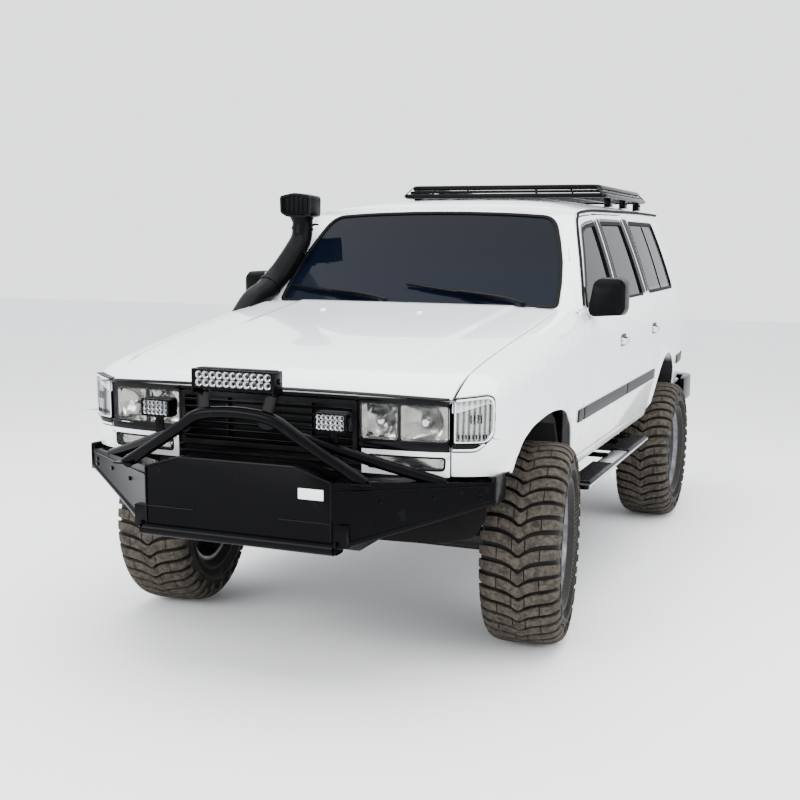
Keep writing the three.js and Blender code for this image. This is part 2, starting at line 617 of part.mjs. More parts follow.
// tail lamps in the corners of the body, below the belt
function tailLamp() {
  return skin([0, 0.35, 0.7, 1], [TAIL_LAMP.z0, 1000, TAIL_LAMP.z1], (u, z, s) => {
    const x = TAIL_LAMP.x0 + (TAIL_LAMP.x1 - TAIL_LAMP.x0) * u;
    return [x, s ? TAIL_LAMP.back : tailY(z) + 10 - 54 * u ** 3, z];
  });
}
pair("tail_lamp", tailLamp(), redLens);

// ---- chassis
const RAIL = { x0: 370, x1: 450, z0: 470, z1: 590, front: -880, rear: 3780 };
const BODY_MOUNTS = [700, 1500, 2250, 3450];
const SPRING_X = 512;
const ARM_X = 425;
const FRAME_TOP_SPRING = 600;
const GEARBOX_MEMBER = { y0: 560, y1: 640, z0: 480, z1: 520 };
function chassisFrame() {
  const half = [
    box(RAIL.x0, RAIL.x1, RAIL.front, RAIL.rear, RAIL.z0, RAIL.z1),
    ...BODY_MOUNTS.map((y) => rod([410, y, RAIL.z1 - 5], [410, y, FLOOR_Z - SEAT], 32, 12)),
    box(440, 545, -690, -620, 560, 590),
    rod([518, -660, 585], [518, -660, 640 - SEAT], 18, 12),
    // spring and damper seats outside the rails, and the hangers of the arms under them
    ...[0, WHEELBASE].map((y) => box(440, 580, y - 66, y + 130, RAIL.z1 - 2, FRAME_TOP_SPRING + 10)),
    box(RAIL.x0 + 10, RAIL.x1 - 10, 690, 750, 400, RAIL.z0 + 10),
    box(RAIL.x0 + 10, RAIL.x1 - 10, 1960, 2020, 400, RAIL.z0 + 10),
  ];
  const rail = join(...half);
  // columns: y from, y to, z from, z to
  const crossmembers = [
    [-850, -760, 490, 570], Object.values(GEARBOX_MEMBER), [1560, 1620, 500, 570], [2240, 2300, 500, 570],
    [3080, 3150, 500, 570], [3700, 3770, 490, 580],
  ].map(([y0, y1, z0, z1]) => box(-RAIL.x0 - 5, RAIL.x0 + 5, y0, y1, z0, z1));
  return join(rail, mirrored(rail), ...crossmembers);
}
piece("chassis_frame", chassisFrame(), blackSteel);

// ---- engine, gearbox and running gear hung from the rails
const ENGINE = { x: 250, y0: -430, y1: 330, z0: 560, z1: 1010 };
function engine() {
  const block = box(-ENGINE.x, ENGINE.x, ENGINE.y0, ENGINE.y1, ENGINE.z0, ENGINE.z1);
  const mounts = box(-RAIL.x0 + SEAT, RAIL.x0 - SEAT, -40, 20, 572, 588);
  return join(block, mounts);
}
piece("engine", engine(), castIron);
// the gearbox rests on the second crossmember
function gearbox() {
  const underside = GEARBOX_MEMBER.z1 + SEAT;
  const housing = prism("y", [[-150, underside], [150, underside], [170, 590], [-170, 590]],
    ENGINE.y1 + SEAT, GEARBOX_MEMBER.y1);
  const transfer = box(-170, 150, GEARBOX_MEMBER.y1 - 20, 900, 470, 590);
  const memberRoom = box(-400, 400, GEARBOX_MEMBER.y0 - 5, GEARBOX_MEMBER.y1 + 5, 400, underside);
  return cut(join(housing, transfer), memberRoom);
}
piece("gearbox", gearbox(), castIron);
function fuelTank() {
  const half = RAIL.x0 - SEAT;
  const section = [[-340, 430], [340, 430], [half, 480], [half, 596], [-half, 596], [-half, 480]];
  return prism("y", section, 3160, 3680);
}
piece("fuel_tank", fuelTank(), blackPlastic);

// ---- seats, facia and steering wheel
function frontSeat() {
  const side = [
    [1120, FLOOR_Z + 16 + SEAT], [1640, FLOOR_Z + 16 + SEAT], [1640, 800], [1700, 860], [1800, 1330],
    [1790, 1470], [1720, 1470], [1690, 1340], [1600, 940], [1130, 900], [1110, 820],
  ];
  return prism("x", side, 190, 690);
}
pair("front_seat", frontSeat(), cloth);
function rearSeat() {
  const side = [
    [2080, FLOOR_Z + 16 + SEAT], [2560, FLOOR_Z + 16 + SEAT], [2660, 1350], [2640, 1440], [2570, 1440],
    [2500, 950], [2090, 900], [2060, 800],
  ];
  return prism("x", side, -575, 575);
}
piece("rear_seat", rearSeat(), cloth);
function dashboard() {
  const facia = prism("x", [
    [600 + SEAT, 900], [900, 880], [990, 960], [980, 1090], [900, 1170], [790, 1222], [600 + SEAT, 1222],
  ], -770, 770);
  const column = rod([380, 880, 1040], [380, 1130, 1110], 30, 10);
  const wheelRing = new THREE.LatheGeometry(
    [[178, -12], [198, -12], [198, 12], [178, 12], [178, -12]].map(([r, y]) => new THREE.Vector2(r, y)), 24,
  );
  wheelRing.rotateX(THREE.MathUtils.degToRad(16)).translate(380, 1130, 1110);
  const spokes = [
    rod([190, 1130, 1110], [570, 1130, 1110], 14, 8),
    rod([380, 1125, 1110], [380, 1178, 930], 14, 8),
  ];
  return join(facia, column, toSolid(wheelRing), ...spokes);
}
piece("dashboard", dashboard(), blackPlastic);

// ---- wipers: pivots on the cowl, blades just off the glass
const WIPER_Y = 694;
function wiper(pivotX, tipX, tipZ) {
  const onGlass = (x, z, lift) => [x, glassY(x, z) - 8 - lift, z];
  const foot = cowlZ(pivotX, WIPER_Y - 12) + SEAT;
  const knee = [pivotX, WIPER_Y, foot + 22];
  const mid = onGlass((pivotX + tipX) / 2 - 30, (foot + 22 + tipZ) / 2 + 12, 26);
  return join(
    rod([pivotX, WIPER_Y, foot], knee, 12, 8),
    ball(knee, 12, 8),
    rod(knee, mid, 6, 6),
    ball(mid, 8, 8),
    rod(onGlass(tipX, tipZ, 16), onGlass(pivotX - 60, 1318, 16), 8, 6),
  );
}
// columns: name, pivot x, tip x, tip z
for (const [name, pivotX, tipX, tipZ] of [["wiper_left", 588, -50, 1383], ["wiper_right", -133, -700, 1363]])
  piece(name, wiper(pivotX, tipX, tipZ), blackPlastic);

// ---- front bumper: folded plate, wings swept back to the arches
const BUMPER_Y = -1000;
const PLATE_T = 8;
// each wing starts at x, runs out by length, back by sweep, and its top edge falls
const WING = { x: 388, length: 512, sweep: 345, low: 500, rise: 150, top: 744, fall: 24 };
function frontBumper() {
  const face = [[-395, 500], [395, 500], [395, 745], [240, 791], [-240, 791], [-395, 745]];
  const tray = cut(
    prism("y", face, BUMPER_Y, RAIL.front - SEAT),
    prism("y", offset(face, -PLATE_T), BUMPER_Y + PLATE_T, -700),
  );
  const wing = (u, v, s) => {
    const low = WING.low + WING.rise * u;
    const high = WING.top - WING.fall * u;
    const x = WING.x + WING.length * u - s * 6;
    return [x, BUMPER_Y + WING.sweep * u + s * PLATE_T, low + (high - low) * v];
  };
  const wingTop = (u, v, s) => [
    WING.x + WING.length * u,
    BUMPER_Y + WING.sweep * u + 2 + v * (90 + 20 * u),
    WING.top - WING.fall * u - s * PLATE_T,
  ];
  const lowTube = rod([-395, BUMPER_Y + 4, 500], [395, BUMPER_Y + 4, 500], 22, 8);
  const wingTube = tube(
    [[385, BUMPER_Y + 8, 502], [690, BUMPER_Y + 216, 590], [893, BUMPER_Y + 352, 652]], 14, 8,
  );
  const endPlate = box(886, 898, -660, -545, 634, 742);
  const arm = box(RAIL.x0, RAIL.x1, BUMPER_Y + 4, RAIL.front - SEAT, 506, 590);
  const half = join(
    skin([0, 1], [0, 1], wing), skin([0, 1], [0, 1], wingTop), wingTube, endPlate, arm,
  );
  return join(tray, lowTube, half, mirrored(half));
}
piece("front_bumper", frontBumper(), blackSteel);

// ---- hoop over the bumper with its two braces, the lamp brackets and the pair of lamp pods
const HOOP_R = 23;
const HOOP_SIDES = 8;
const POD = { w: 124, d: 62, h: 68 };
const LIGHT_BAR = { halfX: 165, y0: -1010, y1: -938, z0: 1058, z1: 1130 };
function bumperHoop() {
  const arch = tube([
    [-510, -955, 740], [-235, -985, 905], [-150, -996, 960], [0, -1000, 974], [150, -996, 960],
    [235, -985, 905], [510, -955, 740],
  ], HOOP_R, HOOP_SIDES);
  const brace = rod([225, -983, 905], [735, -746, 716], HOOP_R - 2, HOOP_SIDES);
  const lampPlate = join(
    skin([0, 1], [0, 1], (u, v, s) =>
      [LIGHT_BAR.halfX - 58 + 50 * u + 14 * v, -996 + 22 * v + s * 6, 960 + 90 * v]),
    box(LIGHT_BAR.halfX + SEAT, LIGHT_BAR.halfX + 6, -1012, -945, 1040, LIGHT_BAR.z1 + 1),
    box(LIGHT_BAR.halfX - 48, LIGHT_BAR.halfX + 6, -980, -950, 1036, 1042),
  );
  // columns: pod centre x, y, z
  const pods = [[356, -905, 950], [-398, -890, 958]].map(([x, y, z]) =>
    join(
      box(x - POD.w / 2, x + POD.w / 2, y - POD.d / 2, y + POD.d / 2, z - POD.h / 2, z + POD.h / 2),
      box(x - 20, x + 20, y - 4, y + 4, z - 130, z - POD.h / 2 + 5),
    ),
  );
  // the wings' top surface, carried on past its edges, cuts the feet of the hoop and braces
  const below = skin([0, 1], [0, 1], (u, v, s) => {
    const x = 300 + 600 * u;
    const along = (x - WING.x) / WING.length;
    return [x, BUMPER_Y - 60 + WING.sweep * along + v * 400, WING.top + SEAT - WING.fall * along - s * 120];
  });
  const whole = join(arch, brace, mirrored(brace), lampPlate, mirrored(lampPlate), ...pods);
  return cut(whole, below, mirrored(below));
}
piece("bumper_hoop", bumperHoop(), blackSteel);
piece(
  "light_bar",
  box(-LIGHT_BAR.halfX, LIGHT_BAR.halfX, LIGHT_BAR.y0, LIGHT_BAR.y1, LIGHT_BAR.z0, LIGHT_BAR.z1),
  blackSteel,
);

// ---- snorkel on the right side: out of the wing's shoulder and up in front of the windscreen pillar
// columns: x, y, z, half width, half depth
const SNORKEL = [
  [-848, 470, 1200, 44, 66], [-847, 575, 1285, 44, 56], [-838, 690, 1334, 42, 48], [-824, 773, 1390, 40, 46],
  [-800, 824, 1440, 38, 46], [-770, 898, 1525, 38, 46], [-748, 962, 1600, 40, 48], [-737, 976, 1663, 44, 48],
  [-735, 976, 1726, 46, 50],
];
const SNORKEL_HEAD = [
  [-828, 1742], [-790, 1720], [-690, 1716], [-650, 1726], [-648, 1830], [-668, 1842], [-740, 1848],
  [-812, 1842], [-830, 1826],
];
function snorkelRing(i, sides) {
  const [x, y, z, w, d] = SNORKEL[i];
  const before = new THREE.Vector3(...SNORKEL[Math.max(0, i - 1)]);
  const after = new THREE.Vector3(...SNORKEL[Math.min(SNORKEL.length - 1, i + 1)]);
  const along = after.sub(before).normalize();
  const side = new THREE.Vector3(1, 0, 0).addScaledVector(along, -along.x).normalize();
  const other = along.clone().cross(side);
  return range(0, sides, sides).slice(0, sides).map((k) => {
    const t = ((k + 0.5) / sides) * Math.PI * 2;
    return new THREE.Vector3(x, y, z).addScaledVector(side, w * Math.cos(t))
      .addScaledVector(other, d * Math.sin(t));
  });
}
function snorkel() {
  const body = loft(SNORKEL.map((_, i) => snorkelRing(i, 10)));
  const head = prism("y", SNORKEL_HEAD, 892, 1022);
  // what lies under the wing's outside is cut off along it
  const wing = skin([-919, -900, -880, -850, -800, -740], [300, 400, 520, 598, 760], (x, y, s) => [
    x, y, topZ(x, Math.min(y, 598)) + SEAT - s * 400,
  ]);
  const skin0 = mirrored(fender());
  return cut(join(body, head), wing, box(-1200, -918, 300, 760, 900, 1300), skin0,
    skin0.translate([-SEAT, 0, SEAT]));
}
piece("snorkel", snorkel(), blackPlastic);

// ---- roof rack: basket of round and flat bar on six feet
const RACK = { y0: 2150, y1: 3440, low: 1872, high: 1922, lowX: 632, highX: 588, r: 12, lean: 30 };
function roofRack() {
  const r = RACK.r;
  // a rectangle of square bar round the platform and another above it
  const loop = (x, y0, y1, z) => cut(
    box(-x - r, x + r, y0 - r, y1 + r, z - r, z + r),
    box(-x + r, x - r, y0 + r, y1 - r, z - 2 * r, z + 2 * r),
  );
  const ys = range(RACK.y0, RACK.y1, 6);
  // each slat carries a strip that stands just higher than the rails
  const strip = RACK.lowX - r - 1;
  const slats = ys.slice(1, -1).flatMap((y) => [
    box(-RACK.lowX, RACK.lowX, y - 18, y + 18, RACK.low - 7, RACK.low + 7),
    box(-strip, strip, y - 18, y + 18, RACK.low, RACK.low + r + 1),
  ]);
  const posts = ys.flatMap((y, i) => {
    const top = i === 0 ? y + RACK.lean : i === 6 ? y - RACK.lean : y;
    return [-1, 1].map((s) => rod([s * RACK.lowX, y, RACK.low], [s * RACK.highX, top, RACK.high], 9, 4));
  });
  const feet = [ys[1], ys[3], ys[5]].flatMap((y) =>
    [-1, 1].map((s) => {
      const inner = RACK.lowX - 36;
      const ground = Math.max(roofZ(inner, y - 40), roofZ(inner, y + 40)) + SEAT;
      const xs = [s * inner, s * (RACK.lowX + 4)];
      return box(Math.min(...xs), Math.max(...xs), y - 40, y + 40, ground, RACK.low);
    }),
  );
  return join(
    loop(RACK.lowX, RACK.y0, RACK.y1, RACK.low),
    loop(RACK.highX, RACK.y0 + RACK.lean, RACK.y1 - RACK.lean, RACK.high),
    ...slats, ...posts, ...feet,
  );
}
piece("roof_rack", roofRack(), blackSteel);

// ---- side steps
const STEP = { x0: 862, x1: 962, y0: 560, y1: 2080, z0: 452, z1: 474 };
function sideStep() {
  const board = box(STEP.x0, STEP.x1, STEP.y0, STEP.y1, STEP.z0, STEP.z1);
  const pads = [[STEP.y0 + 60, STEP.y0 + 560], [STEP.y1 - 560, STEP.y1 - 60]].map(([a, b]) =>
    box(STEP.x0 - 14, STEP.x1, a, b, STEP.z0 + 4, STEP.z1 + 14),
  );
  const brackets = [700, 1320, 1940].map((y) =>
    join(
      box(RAIL.x1 + SEAT, STEP.x0 + 20, y - 25, y + 25, RAIL.z0 + 2, RAIL.z0 + 22),
      box(STEP.x0, STEP.x0 + 20, y - 25, y + 25, STEP.z0 + 2, RAIL.z0 + 22),
    ),
  );
  return join(board, ...pads, ...brackets);
}
pair("side_step", sideStep(), blackSteel);

// ---- rear bumper with a flat step and swept ends
function rearBumper() {
  const plan = [[-930, 3560], [-905, 3560], [-880, 3820], [880, 3820], [905, 3560], [930, 3560], [932, 3860],
    [880, REAR_BUMPER_Y], [-880, REAR_BUMPER_Y], [-932, 3860]];
  const arm = box(RAIL.x0, RAIL.x1, RAIL.rear + SEAT, 3830, 500, 580);
  return join(prism("z", plan, 490, 650), arm, mirrored(arm));
}
piece("rear_bumper", rearBumper(), blackSteel);

// ---- exhaust, from the left of the engine to in front of the left rear wheel
const EXHAUST_R = 28;
function exhaust() {
  const manifoldX = ENGINE.x + EXHAUST_R + SEAT;
  const flange = box(ENGINE.x + SEAT, manifoldX, 80, 140, 600, 680);
  return join(flange, tube([
    [manifoldX, 110, 660], [manifoldX, 200, 520], [manifoldX, 420, 430], [270, 700, 410], [270, 1700, 410],
    [560, 1880, 430], [690, 1930, 430],
  ], EXHAUST_R, 8));
}
piece("exhaust", exhaust(), castIron);

// ---------------------------------------------------------------- axles and wheels, standing level
const axles = new THREE.Group();
vehicle.add(axles);
const AXLE_TUBE_R = 46;
const TRUNNION_R = 20;
const KNUCKLE_BALL_R = 70;
const HUB_X = WHEEL_X - 60;      // inner face of the brake disc
const SPRING_R = 54;

// height of a point of the tilted body in the level frame, and back
const levelOf = (y, z) => [
  y * Math.cos(RAKE) - z * Math.sin(RAKE), y * Math.sin(RAKE) + z * Math.cos(RAKE) + SPRUNG_Z,
];

function springAndDamper(axleY) {
  const [topY, topZ1] = levelOf(axleY, RAIL.z1 - 2);
  const shift = topY - axleY;
  const seat = box(SPRING_X - 62, SPRING_X + 60, -64, 64, WHEEL_Z + 34, WHEEL_Z + 52);
  const coilTop = topZ1 - SEAT - SPRING_R * Math.sin(RAKE);
  const coil = rod([SPRING_X, shift, WHEEL_Z + 50], [SPRING_X, shift, coilTop], SPRING_R, 10);
  const damper = rod([SPRING_X, 98, WHEEL_Z - 10], [SPRING_X, 98 + shift, topZ1 - 3], 24, 8);
  const link = box(SPRING_X - 30, SPRING_X + 30, 30, 110, WHEEL_Z - 30, WHEEL_Z);
  return join(seat, coil, damper, link);
}
function frontAxle() {
  const beam = rod([-KINGPIN_X, 0, WHEEL_Z], [KINGPIN_X, 0, WHEEL_Z], AXLE_TUBE_R, 10);
  const end = join(
    ball([KINGPIN_X, 0, WHEEL_Z], KNUCKLE_BALL_R, 12),
    rod([KINGPIN_X, 0, WHEEL_Z - 100], [KINGPIN_X, 0, WHEEL_Z + 100], TRUNNION_R, 16),
    springAndDamper(0),
    rod([ARM_X, -60, WHEEL_Z + 36], [ARM_X, 677, WHEEL_Z + 112], 28, 10),
    box(ARM_X - 24, ARM_X + 30, -60, 40, WHEEL_Z + 10, WHEEL_Z + 50),
  );
  const housing = ball([-170, 0, WHEEL_Z], 148, 12);
  const snout = rod([-170, 0, WHEEL_Z], [-170, 230, WHEEL_Z + 20], 60, 12);
  return join(beam, end, mirrored(end), housing, snout);
}
function rearAxle() {
  const beam = rod([-HUB_X + SEAT, 0, WHEEL_Z], [HUB_X - SEAT, 0, WHEEL_Z], AXLE_TUBE_R, 10);
  const half = join(
    springAndDamper(WHEELBASE),
    rod([ARM_X, 40, WHEEL_Z - 20], [ARM_X, -826, WHEEL_Z + 148], 26, 10),
    rod([HUB_X - 30, 0, WHEEL_Z], [HUB_X - SEAT, 0, WHEEL_Z], 90, 16),
  );
  const housing = ball([0, 0, WHEEL_Z], 152, 12);
  const snout = rod([0, 0, WHEEL_Z], [0, -240, WHEEL_Z + 20], 60, 12);
  return join(beam, half, mirrored(half), housing, snout);
}

const STEER_ARM = { y: 200, z: -62 };
const TIE_ROD_R = 17;
function knuckle() {
  const out = HUB_X - KINGPIN_X;
  const shell = cut(
    join(ball([0, 0, 0], 92, 10), rod([0, 0, -112], [0, 0, 112], 42, 12)),
    ball([0, 0, 0], 78, 10),
    rod([0, 0, -106], [0, 0, 106], TRUNNION_R + 0.9, 16),
    box(-200, -22, -200, 200, -68, 68),
  );
  const spindle = rod([84, 0, 0], [out - SEAT, 0, 0], 62, 12);
  const arm = prism("z", [[-36, 70], [26, 60], [26, 110], [22, STEER_ARM.y + 22], [-22, STEER_ARM.y + 22],
    [-36, 110]], STEER_ARM.z - 12, STEER_ARM.z + 12);
  return join(shell, spindle, arm);
}

// columns: x from the tyre's middle, share of the way from the bead to the tread
const BEAD_R = RIM_R + SEAT;
const HALF_SECTION = [[112, 1], [150, 0.91], [170, 0.66], [162, 0.36], [130, 0.16], [114, 0]];
const section = HALF_SECTION.map(([x, t]) => [x, BEAD_R + (TYRE_R - BEAD_R) * t]);
const TYRE = [
  ...section, ...section.map(([x, r]) => [-x, r]).reverse(), section[0],
];
const RIM = [
  [-60, 0], [-60, 150], [-48, 150], [-48, 80], [-14, 80], [-14, RIM_R - 14], [-122, RIM_R - 8],
  [-122, RIM_R + 14], [-114.3, RIM_R], [114.3, RIM_R], [122, RIM_R + 14], [122, RIM_R - 8],
  [-2, RIM_R - 16], [-2, 70], [44, 60], [44, 0],
];
const tyre = turned(TYRE, TYRE_SIDES);
const rim = turned(RIM, TYRE_SIDES);

piece("front_axle", frontAxle(), castIron, axles);
const rearAxleGroup = new THREE.Group();
rearAxleGroup.position.y = WHEELBASE;
axles.add(rearAxleGroup);
piece("rear_axle", rearAxle(), castIron, rearAxleGroup);

for (const [end, y] of [["front", 0], ["rear", WHEELBASE]])
  for (const [side, s] of [["left", 1], ["right", -1]]) {
    const steered = end === "front";
    const corner = new THREE.Group();
    corner.position.set(s * KINGPIN_X, y, WHEEL_Z);
    if (steered) corner.rotation.z = STEER_REST;
    axles.add(corner);
    const hub = new THREE.Group();
    hub.position.x = s * (WHEEL_X - KINGPIN_X);
    corner.add(hub);
    const flip = (solid) => (s > 0 ? solid : mirrored(solid));
    if (steered) piece(`knuckle_${side}`, flip(knuckle()), castIron, corner);
    piece(`tyre_${end}_${side}`, flip(tyre), rubber, hub);
    piece(`rim_${end}_${side}`, flip(rim), alloy, hub);
  }

// track rod between the two steering arms, under their ends
function tieRod() {
  const x = -Math.sin(STEER_REST) * STEER_ARM.y;
  const y = Math.cos(STEER_REST) * STEER_ARM.y;
  const top = WHEEL_Z + STEER_ARM.z - 12 - SEAT;
  const eyes = [-KINGPIN_X, KINGPIN_X].map((k) => rod([k + x, y, top - 40], [k + x, y, top], 22, 12));
  return join(rod([x - KINGPIN_X, y, top - 20], [x + KINGPIN_X, y, top - 20], TIE_ROD_R, 12), ...eyes);
}
piece("tie_rod", tieRod(), castIron, axles);

// the origin is under the middle of the overall length
const bounds = new THREE.Box3().setFromObject(vehicle, true);
const shift = -(bounds.min.y + bounds.max.y) / 2;
sprung.position.y = shift;
axles.position.y = shift;

export default vehicle;
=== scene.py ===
"""Finish and fine detail for a lifted five-door estate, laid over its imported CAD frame."""

import json
import math
from functools import lru_cache, partial

import bmesh
import bpy
from bpy.props import FloatProperty, FloatVectorProperty, IntProperty, PointerProperty
from mathutils import Matrix, Vector


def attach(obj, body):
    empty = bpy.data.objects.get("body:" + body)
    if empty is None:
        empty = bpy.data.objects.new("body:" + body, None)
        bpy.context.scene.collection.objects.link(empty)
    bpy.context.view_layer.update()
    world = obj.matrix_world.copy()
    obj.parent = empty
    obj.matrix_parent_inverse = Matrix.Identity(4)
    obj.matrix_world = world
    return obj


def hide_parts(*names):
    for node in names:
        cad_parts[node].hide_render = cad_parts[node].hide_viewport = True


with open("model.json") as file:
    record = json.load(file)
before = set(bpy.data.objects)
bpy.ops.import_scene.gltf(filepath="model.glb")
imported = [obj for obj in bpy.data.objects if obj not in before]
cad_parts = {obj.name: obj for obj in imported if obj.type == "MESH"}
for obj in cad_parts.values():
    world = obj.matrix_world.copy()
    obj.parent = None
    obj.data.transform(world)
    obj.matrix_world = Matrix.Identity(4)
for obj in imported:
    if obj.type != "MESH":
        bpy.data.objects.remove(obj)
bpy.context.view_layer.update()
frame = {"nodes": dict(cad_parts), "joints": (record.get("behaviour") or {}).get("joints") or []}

bl_info = {
    "name": "Lifted estate finish",
    "version": (1, 0, 0),
    "blender": (4, 5, 0),
    "location": "3D View > Sidebar > Estate",
    "description": "Panels, glass, lamps, tyres and paint laid over the CAD frame of a lifted estate",
    "category": "Object",
}

JOINTS = {joint["child"]: joint for joint in frame["joints"]}  # each moving body's joint

# ---------- where things stand
# Shapes are drawn in body millimetres: x to the vehicle's left, y back from the front axle, z up from
# the body's own datum. BODY carries them into the frame; LEVEL does so for the axles, which don't tilt.
MM = 0.001
SLIVER = 0.02  # edges shorter than this are slivers
WELD = 2.5  # points of a trimmed grid nearer than this to its rim join it
CUT_REACH, WELD_SHARE = 0.78, 0.1  # shares of a grid's step: the faces that an edge may cut, and WELD's limit
SHARP = 55  # edges of sheets that turn by more degrees than this are rounded
SHIFT_Y = JOINTS["knuckle_left"]["pos_m"][1]
HINGE_AXIS = JOINTS["door_front_left"]["axis"]
RAKE = math.atan2(HINGE_AXIS[1], -HINGE_AXIS[2])  # the body stands nose down, and its hinges lean with it
BODY_Z = 0.105  # height of the body's datum
TO_MM = Matrix.Scale(MM, 4)
BODY = Matrix.Translation((0, SHIFT_Y, BODY_Z)) @ Matrix.Rotation(RAKE, 4, "X") @ TO_MM
LEVEL = Matrix.Translation((0, SHIFT_Y, 0)) @ TO_MM
WHEELBASE = 2850
BELT_Z, HALF_W = 1280, 919  # height of the windows' lower edge, and half the body's width
LEAN_IN, LEAN = 54, 0.33  # how far the windows' foot stands in from the side, and their lean above it
NOSE_Y, CORNER_X = -757, 868  # the nose's foremost line, and where it starts to turn round the corner
PROUD = 1.5  # painted skins stand this far off the CAD panels
AHEAD, ASTERN, LEFT, UP = (0, -1, 0), (0, 1, 0), (1, 0, 0), (0, 0, 1)
SIDES = (("left", False), ("right", True))  # each side, and whether a piece is mirrored for it


def linear(colour):
    """The linear colour of an sRGB hex value."""
    parts = [int(colour[i : i + 2], 16) / 255 for i in (1, 3, 5)]
    return tuple(c / 12.92 if c <= 0.04045 else ((c + 0.055) / 1.055) ** 2.4 for c in parts) + (1.0,)


def clamp(t):
    return min(1.0, max(0.0, t))


def ease(t):
    t = clamp(t)
    return t * t * (3 - 2 * t)


def mix(a, b, t):
    return a + (b - a) * t


def spread(a, b, n):
    return [a + (b - a) * i / n for i in range(n + 1)]


# ---------- the body's surface
class Curve:
    """A smooth reading of rows of (key, value, value...) that never overshoots them."""

    def __init__(self, rows):
        self.keys = [row[0] for row in rows]
        self.columns = list(zip(*[row[1:] for row in rows]))
        self.slopes = [self.tangents(column) for column in self.columns]

    def tangents(self, values):
        gaps = zip(values, values[1:], self.keys, self.keys[1:])
        steps = [(b - a) / (k1 - k0) for a, b, k0, k1 in gaps]
        inner = [0 if a * b <= 0 else 2 * a * b / (a + b) for a, b in zip(steps, steps[1:])]
        return [steps[0]] + inner + [steps[-1]]

    def __call__(self, key, column=0):
        values, slopes = self.columns[column], self.slopes[column]
        if key <= self.keys[0]:
            return values[0]
        if key >= self.keys[-1]:
            return values[-1]
        i = max(k for k, start in enumerate(self.keys) if start <= key)
        gap = self.keys[i + 1] - self.keys[i]
        t = (key - self.keys[i]) / gap
        wave = t * (1 - t) * gap * (slopes[i] * (1 - t) - slopes[i + 1] * t)
        return mix(values[i], values[i + 1], ease(t)) + wave


# columns: y, half width, height where the shoulder starts, crown height, squareness of the shoulder
STATIONS = Curve([
    (-757, 893, 975, 1032, 3.2), (-711, 895, 985, 1066, 3.2), (-660, 898, 995, 1094, 3.1),
    (-617, 900, 1000, 1112, 3.1), (-450, 911, 1022, 1152, 3.2), (-200, 917, 1052, 1194, 3.5),
    (100, 919, 1085, 1232, 4.2), (400, 919, 1112, 1266, 5.4), (613, 919, 1130, 1292, 7.0),
])
# columns: y, half width behind the bonnet
TAIL = Curve([(613, 919), (2500, 918), (3100, 912), (3500, 898), (3680, 880), (3760, 858), (3815, 815)])
# columns: y, crown of the roof, height of its edge
ROOF = Curve([
    (1150, 1780, 1734), (1300, 1803, 1750), (1583, 1827, 1764), (2200, 1840, 1772), (3000, 1835, 1780),
    (3600, 1805, 1780),
])
# by height: half width of the windscreen, y of the tailgates, and half their width
GLASS_EDGE = Curve([(1283, 750), (1437, 731), (1598, 680), (1690, 640), (1745, 600)])
TAIL_Y = Curve([(500, 3790), (1000, 3806), (1200, 3790), (1300, 3748), (1790, 3610)])
TAIL_HALF = Curve([(700, 708), (1236, 716), (1300, 712), (1790, 560)])
# by y: half width of the bonnet
BONNET_HALF = Curve([(-757, 742), (-700, 746), (613, 778), (700, 778)])


def lower_inset(z):
    """How far the sides tuck in below the wheel arches' tops."""
    return 48 * clamp((900 - z) / 355) ** 2


def half_width(y):
    return STATIONS(y, 0) if y < 613 else TAIL(y)


def door_x(y, z):
    """Outside of the doors and quarters, with the windows leaning in above the belt."""
    w = half_width(y)
    if z >= BELT_Z:
        bow = 7 * math.sin(math.pi * clamp((z - BELT_Z) / 480))
        return w / HALF_W * (HALF_W - LEAN_IN - LEAN * (z - BELT_Z)) + bow
    t = max(0.0, (z - 1130) / 274)
    return w * (1 - t**3) ** (1 / 3) - lower_inset(z)


def nose_y(x):
    return NOSE_Y + 140 * (abs(x) / 900) ** 6.5


def crown_z(x, y):
    """Height of the bonnet and wing tops, with the front edge kept level round the nose."""
    y = y - (nose_y(x) - NOSE_Y) * (1 - ease((y - NOSE_Y) / 300))
    start, crown, n = STATIONS(y, 1), STATIONS(y, 2), STATIONS(y, 3)
    t = clamp(abs(x) / half_width(min(y, 613)))
    return start + (crown - start) * (1 - t**n) ** (1 / n)


def glass_y(x, z):
    return 712 + (z - 1283) * 0.926 + 28 * (x / 750) ** 2


def roof_z(x, y):
    crown, edge = ROOF(y, 0), ROOF(y, 1) + 10
    return crown - (crown - edge) * (abs(x) / door_x(y, ROOF(y, 1))) ** 3.4


def cowl_z(x, y):
    return crown_z(x, 613) - 1 - 0.12 * (y - 640)


def tail_point(x, z, depth=0.0):
    """A point of the tailgates' outside, depth under the skin."""
    u = x / TAIL_HALF(z)
    return Vector((x, TAIL_Y(z) + 14 * (1 - u * u) + PROUD - depth, z))


def side_point(y, z, depth=0.0):
    return Vector((door_x(y, z) + PROUD - depth, y, z))


def front_point(x, z, depth=0.0):
    return Vector((x, nose_y(x) - PROUD + depth, z))


def sunk(surface, depth):
    """A surface drawn so far under its skin, or over it where depth is below zero."""
    return lambda a, b: surface(a, b, depth)


def across(y):
    """An upright plane across the vehicle."""
    return lambda x, z: Vector((x, y, z))


def measured(points):
    """Points with their distances along the path that they make."""
    distances = [0.0]
    for p, q in zip(points, points[1:]):
        distances.append(distances[-1] + (q - p).length)
    return points, distances


def walked(points, distances, d):
    """The point at a distance along a path, and the step of the path that it lies on."""
    i = max(k for k, start in enumerate(distances[:-1]) if start <= d)
    along = points[i + 1] - points[i]
    return points[i] + along * ((d - distances[i]) / max(along.length, 1e-6)), along


